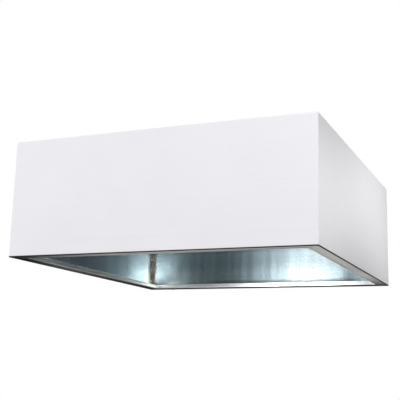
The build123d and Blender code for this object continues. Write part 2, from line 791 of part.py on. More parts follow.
def quadrant_rivets():
    """Low rivets of the quadrant bracket, whose tails stay clear of the turning blade."""
    grip = QUADRANT_T + SHEET + 4 * RIVET_CLEAR
    one = Rot(0, 90, 0) * rivet(grip, tail=QUADRANT_RIVET_TAIL)
    head = Pos(SPIGOT_R + QUADRANT_T + 2 * RIVET_CLEAR, 0, DAMPER_Z)
    return [Rot(0, 0, turn) * head * one for turn in quadrant_rivet_turns()]


def swept_wedge(radius, overrun):
    """Area between the hand lever's shut and open directions, from front to top, with an overrun."""
    reach = 2 * radius
    start = math.radians(180 + overrun)
    stop = math.radians(180 - DAMPER_SWEEP - overrun)
    return Polygon(
        (0, 0),
        (reach * math.cos(start), reach * math.sin(start)),
        (-reach, reach),
        (reach * math.cos(stop), reach * math.sin(stop)),
        align=None,
    )


def slot_area():
    """Curved slot in which the lock bolt travels."""
    half = BOLT_R + SLOT_CLEAR
    band = Circle(SLOT_R + half) - Circle(SLOT_R - half)
    stop = math.radians(180 - DAMPER_SWEEP)
    slot = band & swept_wedge(SLOT_R, 0)
    slot += Pos(-SLOT_R, 0) * Circle(half)
    return slot + Pos(SLOT_R * math.cos(stop), SLOT_R * math.sin(stop)) * Circle(half)


def turning_stud_bore(radius, z0, z1):
    """Double flatted hole of the hand lever."""
    bore = rod(radius, z0, z1)
    flat = HANDLE_FLAT + SPINDLE_CLEAR
    return bore & block(-flat, flat, -2 * radius, 2 * radius, z0, z1)


def handle():
    """Flat hand lever on the spindle's stud, pointing to the front when the damper is shut."""
    half = HANDLE_W / 2
    straight = Pos(0, -HANDLE_L / 2 + half) * Box(HANDLE_W, HANDLE_L - HANDLE_W, HANDLE_T)
    flat = straight + Cylinder(half, HANDLE_T) + Pos(0, -HANDLE_L + HANDLE_W) * Cylinder(half, HANDLE_T)
    flat = Pos(0, 0, HANDLE_X + HANDLE_T / 2) * flat
    flat = chamfer(flat.faces().sort_by(Axis.Z)[-1].edges(), length=HANDLE_CHAMFER)
    flat -= turning_stud_bore(HANDLE_STUD_R + SPINDLE_CLEAR, HANDLE_X - CUT, STUD_X + CUT)
    flat -= Pos(0, -SLOT_R) * rod(BOLT_R + BOLT_THREAD_CLEAR, HANDLE_X - CUT, STUD_X + CUT)
    return across_damper(flat)


def handle_nut():
    """Nut that clamps the hand lever to the spindle."""
    nut = hex_nut(DAMPER_NUT_HEX, HANDLE_STUD_R + BOLT_THREAD_CLEAR, STUD_X, STUD_X + DAMPER_NUT_H)
    return across_damper(nut)


def lock_bolt():
    """Bolt that slides in the quadrant's slot, with its head behind the plate."""
    seat = QUADRANT_X - HANDLE_GAP
    tip = STUD_X + WING_GAP + WING_HUB_H + LOCK_BOLT_TIP
    bolt = hexagon(BOLT_HEX, seat - BOLT_HEAD_H + SHEET, seat) + rod(BOLT_R, seat, tip)
    return across_damper(Pos(0, -SLOT_R) * bolt)


def wing_nut():
    """Wing nut that clamps the hand lever against the quadrant."""
    base = STUD_X + WING_GAP
    hub = Pos(0, 0, base + WING_HUB_H / 2) * Cone(WING_HUB_R, WING_HUB_TOP_R, WING_HUB_H)
    wing = Plane.XZ * Polygon(
        (0, WING_FOOT_H),
        (WING_HUB_R, WING_FOOT_H / 2),
        (WING_SPAN, WING_WAIST_H),
        (WING_SPAN - WING_TIP_SLOPE, WING_H),
        (WING_SPAN - WING_TIP_SLOPE - WING_TIP_W, WING_H),
        (0, WING_HUB_H),
        align=None,
    )
    wings = extrude(wing, amount=WING_T / 2, both=True)
    wings = fillet(wings.edges().filter_by(Axis.Y).sort_by(Axis.X)[-3:], radius=WING_TIP_R)
    wings = Pos(0, 0, base) * (wings + mirror(wings, about=Plane.YZ))
    nut = hub + wings - rod(BOLT_R + SPINDLE_CLEAR, base - CUT, base + 2 * WING_H)
    return across_damper(Pos(0, -SLOT_R) * nut)


def at_drain(solid):
    """A drain piece drawn upright from the rear wall's outer face, laid towards the back."""
    return Pos(DRAIN_X, HOOD_D / 2, DRAIN_Z) * Rot(-90, 0, 0) * solid


def drain_hole():
    """Hole of the drain through the rear wall and the gutter's outer leg."""
    return at_drain(rod(DRAIN_THREAD_R + DRAIN_HOLE_CLEAR, -4 * SHEET, 2 * SHEET))


def drain_bulkhead():
    """Fitting through the rear wall, with its round head in the gutter."""
    seat = -2 * SHEET - DRAIN_GASKET_T
    head = rod(DRAIN_HEAD_R, seat - DRAIN_HEAD_T, seat)
    head = fillet(head.edges().sort_by(Axis.Z)[0], radius=DRAIN_HEAD_T / 4)
    body = head + rod(DRAIN_THREAD_R, seat, DRAIN_SHANK)
    return at_drain(body - rod(DRAIN_BORE_R, seat - 2 * DRAIN_HEAD_T, 2 * DRAIN_SHANK))


def drain_gasket():
    """Soft washer between the fitting's head and the gutter's outer leg."""
    inner = DRAIN_THREAD_R + DRAIN_HOLE_CLEAR
    return at_drain(ring(inner, DRAIN_GASKET_R, -2 * SHEET - DRAIN_GASKET_T, -2 * SHEET))


def drain_washer():
    """Plain washer on the rear wall's outer face."""
    return at_drain(ring(DRAIN_THREAD_R + DRAIN_HOLE_CLEAR, DRAIN_WASHER_R, 0, DRAIN_WASHER_T))


def drain_locknut():
    """Locknut of the fitting."""
    bore = DRAIN_THREAD_R + BOLT_THREAD_CLEAR
    return at_drain(hex_nut(DRAIN_HEX, bore, DRAIN_WASHER_T, DRAIN_WASHER_T + DRAIN_NUT_H))


def upward(solid):
    """A stem piece drawn upright from the ball's centre, in the drain's own frame."""
    return Pos(0, 0, VALVE_BALL_Z) * Rot(90, 0, 0) * solid


def valve_body():
    """Ball valve body screwed on the fitting, with a boss for its stem on top."""
    body = hexagon(DRAIN_HEX, VALVE_START, VALVE_START + VALVE_INLET_HEX_L)
    body += rod(VALVE_BODY_R, VALVE_START + VALVE_INLET_HEX_L, VALVE_END_Z)
    body += upward(rod(BOSS_R, 0, BOSS_TOP))
    body -= rod(DRAIN_THREAD_R + BOLT_THREAD_CLEAR, 0, DRAIN_SHANK)
    body -= rod(DRAIN_BORE_R, 0, VALVE_END_Z)
    body -= rod(VALVE_CAVITY_R, VALVE_SHOULDER, VALVE_END_Z + CUT)
    return at_drain(body - upward(rod(STEM_R + SPINDLE_CLEAR, 0, 2 * BOSS_TOP)))


def valve_end():
    """Screwed end of the valve, with the threaded outlet socket."""
    end = hexagon(DRAIN_HEX, VALVE_END_Z, VALVE_END_Z + VALVE_END_L)
    end += rod(VALVE_CAVITY_R - BOLT_THREAD_CLEAR, VALVE_PLUG_Z, VALVE_END_Z)
    end -= rod(DRAIN_BORE_R, 0, 2 * VALVE_END_Z)
    top = VALVE_END_Z + VALVE_END_L
    return at_drain(end - rod(VALVE_SOCKET_R, top - VALVE_SOCKET_DEPTH, top + CUT))


def valve_ball():
    """Ball with its bore across the pipe when shut, slotted for the stem."""
    ball = Sphere(BALL_R) - Rot(0, 90, 0) * Cylinder(DRAIN_BORE_R, 3 * BALL_R)
    slot_t = STEM_TANG_T + 2 * STEM_TANG_CLEAR
    ball -= Pos(0, -BALL_R) * Box(3 * BALL_R, 2 * STEM_TANG_DEPTH, slot_t)
    return at_drain(Pos(0, 0, VALVE_BALL_Z) * ball)


def valve_seats():
    """Soft rings on both sides of the ball."""
    blank = ring(DRAIN_BORE_R + STEM_TANG_CLEAR, VALVE_CAVITY_R - BALL_CLEAR, 0, SEAT_T)
    hollow = Pos(0, 0, SEAT_T + BALL_R - SEAT_WRAP) * Sphere(BALL_R + BALL_CLEAR)
    seat = blank - hollow
    inlet = at_drain(Pos(0, 0, VALVE_SHOULDER) * seat)
    outlet = at_drain(Pos(0, 0, VALVE_PLUG_Z) * Rot(180, 0, 0) * seat)
    return [inlet, outlet]


def valve_stem():
    """Stem with a tang in the ball's slot, a square for the lever and a threaded tip."""
    tang_low = BALL_R - STEM_TANG_DEPTH + STEM_TANG_CLEAR
    half_w = STEM_TANG_W / 2
    half_t = STEM_TANG_T / 2
    square = STEM_SQUARE / 2
    lever_top = LEVER_Z + LEVER_T
    stem = block(-half_w, half_w, -half_t, half_t, tang_low, BALL_R + STEM_TANG_CLEAR)
    stem += rod(STEM_R, BALL_R + STEM_TANG_CLEAR, LEVER_Z)
    stem += block(-square, square, -square, square, LEVER_Z, lever_top)
    stem += rod(STEM_THREAD_R, lever_top, lever_top + LEVER_NUT_H + SHEET)
    return at_drain(upward(stem))


def packing_nut():
    """Gland nut on the boss, round the stem."""
    nut = hex_nut(PACKING_HEX, STEM_R + SPINDLE_CLEAR, BOSS_TOP, BOSS_TOP + PACKING_H)
    return at_drain(upward(nut))


def lever():
    """Flat valve lever, along the wall when shut."""
    half = LEVER_W / 2
    plate = Pos(LEVER_L / 2) * Box(LEVER_L, LEVER_W, LEVER_T)
    plate += Cylinder(LEVER_EYE_R, LEVER_T) + Pos(LEVER_L) * Cylinder(half, LEVER_T)
    plate -= Box(*(2 * [STEM_SQUARE + 2 * SPINDLE_CLEAR]), 2 * LEVER_T)
    return at_drain(upward(Pos(0, 0, LEVER_Z + LEVER_T / 2) * plate))


def lever_grip():
    """Dipped plastic grip over the lever's end, closed at the tip."""
    end = LEVER_L + LEVER_W / 2 + GRIP_OVERHANG
    shape = Pos(end - GRIP_L / 2) * Box(GRIP_L, GRIP_W, GRIP_T)
    shape = fillet(shape.edges().filter_by(Axis.Z), radius=GRIP_CORNER_R)
    shape = fillet(shape.edges().group_by(Axis.Z)[-1], radius=GRIP_EDGE_R)
    shape = fillet(shape.edges().group_by(Axis.Z)[0], radius=GRIP_EDGE_R)
    clear = SPINDLE_CLEAR
    half = LEVER_W / 2 + clear
    pocket = Pos(LEVER_L / 2) * Box(LEVER_L, 2 * half, LEVER_T + 2 * clear)
    pocket += Pos(LEVER_L) * Cylinder(half, LEVER_T + 2 * clear)
    return at_drain(upward(Pos(0, 0, LEVER_Z + LEVER_T / 2) * (shape - pocket)))


def lever_nut():
    """Small nut that holds the lever on the stem."""
    low = LEVER_Z + LEVER_T
    nut = hex_nut(LEVER_NUT_HEX, STEM_THREAD_R + BOLT_THREAD_CLEAR, low, low + LEVER_NUT_H)
    return at_drain(upward(nut))


def all_parts():
    """Every node's name and its solid or solids."""
    parts = {
        "front_panel": wrapped_wall(),
        "rear_panel": turned(wrapped_wall(), "rear") - drain_hole(),
        "left_panel": turned(side_wall("left"), "left"),
        "right_panel": turned(side_wall("right"), "right"),
        "roof_panel": roof(),
        "roof_rivets": roof_rivets(),
        "gutter_wall_seals": wall_seals(),
        "gutter_corner_seals": [corner_seal(x, y) for x, y in CORNERS.values()],
        "roof_stiffener_left": stiffener(-1),
        "roof_stiffener_right": stiffener(1),
        "stiffener_rivets": stiffener_rivets(),
        "hanger_bolts": hanger_bolts(),
        "hanger_washers": hanger_washers(),
        "hanger_nuts": hanger_nuts(),
        "duct_spigot": spigot(),
        "spigot_gasket": gasket(),
        "spigot_rivets": spigot_rivets(),
        "damper_blade": blade(),
        "damper_spindle": spindle(),
        "damper_saddle_left": saddle(-1),
        "damper_saddle_right": saddle(1),
        "damper_saddle_rivets": saddle_rivets(),
        "damper_bush_left": bush(-1),
        "damper_bush_right": bush(1),
        "damper_spindle_clip": spindle_clip(),
        "damper_quadrant": quadrant(),
        "quadrant_rivets": quadrant_rivets(),
        "damper_handle": handle(),
        "damper_handle_nut": handle_nut(),
        "damper_lock_bolt": lock_bolt(),
        "damper_wing_nut": wing_nut(),
        "drain_bulkhead": drain_bulkhead(),
        "drain_gasket": drain_gasket(),
        "drain_washer": drain_washer(),
        "drain_locknut": drain_locknut(),
        "valve_body": valve_body(),
        "valve_end": valve_end(),
        "valve_ball": valve_ball(),
        "valve_seats": valve_seats(),
        "valve_stem": valve_stem(),
        "valve_packing_nut": packing_nut(),
        "valve_lever": lever(),
        "valve_lever_grip": lever_grip(),
        "valve_lever_nut": lever_nut(),
    }
    for name in WALLS:
        parts["gutter_" + name] = gutter(name)
    for name, (x, y) in CORNERS.items():
        parts["hanger_" + name] = hanger(x, y)
        parts["backing_plate_" + name] = backing_plate(x, y)
    return parts


os.makedirs("parts", exist_ok=True)
for node, shape in all_parts().items():
    pieces = shape if isinstance(shape, list) else [shape]
    solids = [solid for piece in pieces for solid in piece.solids()]
    whole = solids[0] if len(solids) == 1 else Compound(children=solids)
    export_step(whole, f"parts/{node}.step")
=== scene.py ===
import json
import logging
import math
from dataclasses import dataclass, field
from enum import Enum
from itertools import product
from typing import Dict, Iterable, List, Optional, Sequence, Tuple, Union

import bmesh
import bpy
from mathutils import Matrix, Vector


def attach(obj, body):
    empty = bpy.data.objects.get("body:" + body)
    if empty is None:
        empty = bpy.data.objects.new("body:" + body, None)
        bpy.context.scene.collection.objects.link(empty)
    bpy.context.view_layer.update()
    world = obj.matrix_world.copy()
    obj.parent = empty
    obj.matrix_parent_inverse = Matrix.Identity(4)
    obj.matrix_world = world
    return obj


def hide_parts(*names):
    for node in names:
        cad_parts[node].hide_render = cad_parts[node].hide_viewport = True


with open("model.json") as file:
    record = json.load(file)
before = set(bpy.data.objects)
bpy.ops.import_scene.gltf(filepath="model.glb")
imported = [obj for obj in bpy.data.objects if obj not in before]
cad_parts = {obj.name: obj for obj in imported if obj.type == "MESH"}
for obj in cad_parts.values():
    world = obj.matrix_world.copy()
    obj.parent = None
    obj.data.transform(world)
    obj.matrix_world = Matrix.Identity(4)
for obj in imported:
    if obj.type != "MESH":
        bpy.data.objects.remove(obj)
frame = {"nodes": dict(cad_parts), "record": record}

log = logging.getLogger("condensate_hood")

Colour = Tuple[float, float, float]
Point = Tuple[float, float, float]
Span = Tuple[float, float]
Socket = bpy.types.NodeSocket
Value = Union[Socket, bpy.types.Material, float, int, bool, str, Sequence[float]]

MM = 0.001
CORNERS = ("front_left", "front_right", "rear_left", "rear_right")
SIDES = (-1, 1)
UP: Point = (0.0, 0.0, 1.0)
DOWN: Point = (0.0, 0.0, -1.0)
TO_RIGHT: Point = (1.0, 0.0, 0.0)
TO_REAR: Point = (0.0, 1.0, 0.0)
LEVEL_PART: Point = (1.0, 1.0, 0.0)
WHOLE: Span = (0.0, 1.0)
NOISE_RANGE: Span = (0.3, 0.7)
NOISE_CORE: Span = (0.35, 0.65)
X, Y, Z = 0, 1, 2


@dataclass(frozen=True)
class Port:
    """One named socket of a node group."""

    name: str
    kind: str
    default: Optional[Value] = None


@dataclass
class NodeDesk:
    """Adds the nodes of one tree and wires them."""

    tree: bpy.types.NodeTree

    def put(self, value: Value, socket: Socket) -> None:
        """Links a socket to another, or gives it a plain value.

        Args:
            value: An output socket, or the value itself.
            socket: The input socket.
        """
        if isinstance(value, bpy.types.NodeSocket):
            self.tree.links.new(value, socket)
        elif socket.type == "RGBA" and len(value) == 3:
            socket.default_value = (*value, 1.0)
        else:
            socket.default_value = value

    def node(
        self,
        kind: str,
        inputs: Optional[Dict[Union[str, int], Value]] = None,
        **settings: Value,
    ) -> bpy.types.Node:
        """Adds one node.

        Args:
            kind: Blender's name for the node's type.
            inputs: Value or socket for each input, by name or by number.
            settings: The node's own properties.

        Returns:
            The node.
        """
        made = self.tree.nodes.new(kind)
        for name, value in settings.items():
            setattr(made, name, value)
        for name, value in (inputs or {}).items():
            self.put(value, made.inputs[name])
        return made

    def math(self, operation: str, *values: Value, clamp: bool = False) -> Socket:
        """Output of a Math node."""
        settings = {"operation": operation, "use_clamp": clamp}
        return self.node("ShaderNodeMath", dict(enumerate(values)), **settings).outputs[0]

    def times(self, first: Value, second: Value, clamp: bool = False) -> Socket:
        """Product of two numbers."""
        return self.math("MULTIPLY", first, second, clamp=clamp)

    def vector(self, operation: str, *values: Value) -> Socket:
        """Output of a Vector Math node that gives a vector."""
        inputs = dict(enumerate(values))
        return self.node("ShaderNodeVectorMath", inputs, operation=operation).outputs[0]

    def measure(self, operation: str, *values: Value) -> Socket:
        """Output of a Vector Math node that gives a number."""
        inputs = dict(enumerate(values))
        return self.node("ShaderNodeVectorMath", inputs, operation=operation).outputs["Value"]

    def scaled(self, vector: Value, share: Value) -> Socket:
        """A vector times a number."""
        inputs = {0: vector, "Scale": share}
        return self.node("ShaderNodeVectorMath", inputs, operation="SCALE").outputs[0]

    def part(self, vector: Value, axis: int) -> Socket:
        """One part of a vector, by its number."""
        return self.node("ShaderNodeSeparateXYZ", {0: vector}).outputs[axis]

    def join(self, x: Value, y: Value, z: Value) -> Socket:
        """A vector from its three parts."""
        return self.node("ShaderNodeCombineXYZ", {0: x, 1: y, 2: z}).outputs[0]

    def grey(self, level: Value) -> Socket:
        """A grey of one level."""
        return self.node("ShaderNodeCombineColor", {0: level, 1: level, 2: level}).outputs[0]

    def normal(self) -> Socket:
        """The surface's normal."""
        return self.node("ShaderNodeNewGeometry").outputs["Normal"]

    def noise(self, scale: Value, detail: float, **more: Value) -> Socket:
        """Level of a noise.

        Args:
            scale: How fine it is.
            detail: How many finer layers it has.
            more: Its other inputs, by name. With W it has four dimensions.

        Returns:
            The level's socket.
        """
        kind = "4D" if "W" in more else "3D"
        inputs = {"Scale": scale, "Detail": detail, **more}
        return self.node("ShaderNodeTexNoise", inputs, noise_dimensions=kind).outputs[0]

    def spread(self, value: Value, span: Span, result: Span = WHOLE) -> Socket:
        """A value mapped smoothly from one range to another and held at its ends.

        Args:
            value: What is mapped.
            span: Start and end of the range that it is in.
            result: What the start and the end become.

        Returns:
            The mapped value's socket.
        """
        inputs = {
            "Value": value,
            "From Min": span[0],
            "From Max": span[1],
            "To Min": result[0],
            "To Max": result[1],
        }
        return self.node("ShaderNodeMapRange", inputs, interpolation_type="SMOOTHSTEP").outputs[0]

    def steps(self, value: Value, levels: Sequence[float]) -> Socket:
        """A value looked up on equally spaced levels, with straight runs between them.

        Args:
            value: A share from 0 to 1.
            levels: The levels.

        Returns:
            The level's socket.
        """
        made = self.node("ShaderNodeFloatCurve", {"Value": value})
        made.mapping.use_clip = False
        line = made.mapping.curves[0]
        last = len(levels) - 1
        line.points[0].location = (0.0, levels[0])
        line.points[1].location = (1.0, levels[last])
        for number in range(1, last):
            line.points.new(number / last, levels[number])
        for point in line.points:
            point.handle_type = "VECTOR"
        made.mapping.update()
        return made.outputs[0]

    def blend(self, factor: Value, first: Value, second: Value, mode: str = "MIX") -> Socket:
        """Colour between two colours."""
        inputs = {0: factor, 6: first, 7: second}
        return self.node("ShaderNodeMix", inputs, data_type="RGBA", blend_type=mode).outputs[2]

    def between(self, factor: Value, first: Value, second: Value) -> Socket:
        """Number between two numbers."""
        inputs = {0: factor, 2: first, 3: second}
        return self.node("ShaderNodeMix", inputs, data_type="FLOAT").outputs[0]


def add_ports(tree: bpy.types.NodeTree, ports: Iterable[Port], side: str) -> None:
    """Gives a node group its sockets on one side.

    Args:
        tree: The group's tree.
        ports: The sockets.
        side: INPUT or OUTPUT.
    """
    for port in ports:
        socket = tree.interface.new_socket(port.name, in_out=side, socket_type=port.kind)
        if port.default is not None:
            socket.default_value = port.default


class Effect:
    """A shader node group that several finishes share. It is built once."""

    label = ""
    takes: Tuple[Port, ...] = ()
    gives: Tuple[Port, ...] = ()

    def draw(self, desk: NodeDesk, takes: bpy.types.NodeOutputs) -> Dict[str, Socket]:
        """Adds the group's nodes.

        Args:
            desk: The group's desk.
            takes: The group's inputs.

        Returns:
            What goes to each output, by name.
        """
        raise NotImplementedError

    def tree(self) -> bpy.types.NodeTree:
        """Builds the group when it is first asked for.

        Returns:
            The group's tree.
        """
        made = bpy.data.node_groups.get(self.label)
        if made is None:
            made = bpy.data.node_groups.new(self.label, "ShaderNodeTree")
            add_ports(made, self.takes, "INPUT")
            add_ports(made, self.gives, "OUTPUT")
            desk = NodeDesk(made)
            results = self.draw(desk, desk.node("NodeGroupInput").outputs)
            desk.node("NodeGroupOutput", results)
        return made

    def place(self, desk: NodeDesk, **values: Value) -> bpy.types.NodeOutputs:
        """Adds the group to a material.

        Args:
            desk: The material's desk.
            values: Value or socket for each input, with _ for a space.

        Returns:
            The group's outputs.
        """
        made = desk.node("ShaderNodeGroup", node_tree=self.tree())
        for name, value in values.items():
            desk.put(value, made.inputs[name.replace("_", " ")])
        return made.outputs


class DrawnGrain(Effect):
    """Fine lines that the rolls or the belt leave in sheet metal, all one way."""

    label = "drawn grain"
    takes = (
        Port("Place", "NodeSocketVector"),
        Port("Stretch", "NodeSocketVector", (1.0, 1.0, 400.0)),
        Port("Seed", "NodeSocketFloat", 0.0),
    )
    gives = (Port("Height", "NodeSocketFloat"), Port("Tone", "NodeSocketFloat"))
    fine_scale = 1.0
    coarse_scale = 0.11
    fine_share = 0.4

    def draw(self, desk: NodeDesk, takes: bpy.types.NodeOutputs) -> Dict[str, Socket]:
        """Adds two noises stretched along the lines, a fine one and a coarse one.

        Args:
            desk: The group's desk.
            takes: The group's inputs.

        Returns:
            The lines' Height and their Tone.
        """
        place = desk.vector("MULTIPLY", takes["Place"], takes["Stretch"])
        place = desk.vector("ADD", place, desk.join(takes["Seed"], 0.0, takes["Seed"]))
        fine = desk.noise(self.fine_scale, detail=3.0, Vector=place, Roughness=0.65)
        coarse = desk.noise(self.coarse_scale, detail=2.0, Vector=place, Roughness=0.5)
        return {"Height": fine, "Tone": desk.between(self.fine_share, coarse, fine)}


class Clouding(Effect):
    """Large soft changes in a surface."""

    label = "clouding"
    takes = (
        Port("Place", "NodeSocketVector"),
        Port("Per Metre", "NodeSocketFloat", 4.0),
        Port("Seed", "NodeSocketFloat", 0.0),
    )
    gives = (Port("Cloud", "NodeSocketFloat"),)

    def draw(self, desk: NodeDesk, takes: bpy.types.NodeOutputs) -> Dict[str, Socket]:
        """Adds one broad noise, brought to the full range.

        Args:
            desk: The group's desk.
            takes: The group's inputs.

        Returns:
            The Cloud.
        """
        inputs = {"Vector": takes["Place"], "W": takes["Seed"], "Roughness": 0.55}
        noise = desk.noise(takes["Per Metre"], detail=4.0, **inputs)
        return {"Cloud": desk.spread(noise, NOISE_RANGE)}


class HandMarks(Effect):
    """Smears and finger marks, in patches."""

    label = "hand marks"
    takes = (
        Port("Place", "NodeSocketVector"),
        Port("Per Metre", "NodeSocketFloat", 9.0),
        Port("Share", "NodeSocketFloat", 0.35),
    )
    gives = (Port("Mark", "NodeSocketFloat"),)
    smears_per_patch = 7.0
    rare_edge = 0.85
    edge_per_share = 0.6
    soft_edge = 0.12
    steepness = 5.0

    def draw(self, desk: NodeDesk, takes: bpy.types.NodeOutputs) -> Dict[str, Socket]:
        """Adds patches where a broad noise is high, broken up by a finer one.

        Args:
            desk: The group's desk.
            takes: The group's inputs.

        Returns:
            The Mark.
        """
        scale = takes["Per Metre"]
        broad = desk.noise(scale, detail=2.0, Vector=takes["Place"])
        finer = desk.times(scale, self.smears_per_patch)
        smear = desk.noise(finer, detail=3.0, Vector=takes["Place"], Distortion=1.2)
        edge = desk.times(takes["Share"], self.edge_per_share)
        edge = desk.math("SUBTRACT", self.rare_edge, edge)
        patch = desk.math("ADD", desk.math("SUBTRACT", broad, edge), self.soft_edge)
        patch = desk.times(patch, self.steepness, clamp=True)
        return {"Mark": desk.times(patch, smear, clamp=True)}


class SettledDust(Effect):
    """Dust that lies on what faces up."""

    label = "settled dust"
    takes = (Port("Place", "NodeSocketVector"), Port("Amount", "NodeSocketFloat", 0.3))
    gives = (Port("Dust", "NodeSocketFloat"),)
    per_metre = 14.0
    looks_up: Span = (0.3, 0.95)
    patchy: Span = (0.35, 1.0)

    def draw(self, desk: NodeDesk, takes: bpy.types.NodeOutputs) -> Dict[str, Socket]:
        """Adds how far a face looks up, times a patchy noise.

        Args:
            desk: The group's desk.
            takes: The group's inputs.

        Returns:
            The Dust.
        """
        up = desk.spread(desk.part(desk.normal(), Z), self.looks_up)
        noise = desk.noise(self.per_metre, detail=6.0, Vector=takes["Place"], Roughness=0.7)
        lying = desk.times(up, desk.spread(noise, NOISE_CORE, self.patchy))
        return {"Dust": desk.times(lying, takes["Amount"], clamp=True)}


class FinePeel(Effect):
    """Shallow, fine unevenness of moulded, cast or dipped surfaces."""

    label = "fine peel"
    takes = (Port("Place", "NodeSocketVector"), Port("Per Metre", "NodeSocketFloat", 900.0))
    gives = (Port("Height", "NodeSocketFloat"),)

    def draw(self, desk: NodeDesk, takes: bpy.types.NodeOutputs) -> Dict[str, Socket]:
        """Adds a fine noise."""
        return {"Height": desk.noise(takes["Per Metre"], detail=2.0, Vector=takes["Place"])}


class Lay(Enum):
    """Which way the lines of a metal surface run. The value is the noise's stretch, per metre."""

    LEVEL = (1.6, 1.6, 1100.0)
    UPRIGHT = (260.0, 260.0, 1.5)
    ALONG_X = (1.6, 1100.0, 1100.0)
    ALONG_Y = (1100.0, 1.6, 1100.0)
    ROUND_Z = (9.0, 9.0, 1300.0)
    FINE = (700.0, 700.0, 700.0)


@dataclass(frozen=True)
class Finish:
    """What every finish has."""

    slot: str
    colour: Colour
    roughness: float

    def start(self) -> Tuple[bpy.types.Material, NodeDesk, bpy.types.NodeInputs, Socket]:
        """Makes a material with its shader and its object coordinates.

        Returns:
            The material, its desk, the Principled shader's inputs and the coordinates.
        """
        material = bpy.data.materials.new(self.slot)
        material.use_nodes = True
        desk = NodeDesk(material.node_tree)
        desk.tree.nodes.clear()
        shader = desk.node("ShaderNodeBsdfPrincipled")
        desk.node("ShaderNodeOutputMaterial", {"Surface": shader.outputs[0]})
        place = desk.node("ShaderNodeTexCoord").outputs["Object"]
        return material, desk, shader.inputs, place

    def material(self) -> bpy.types.Material:
        """The material of this finish."""
        raise NotImplementedError


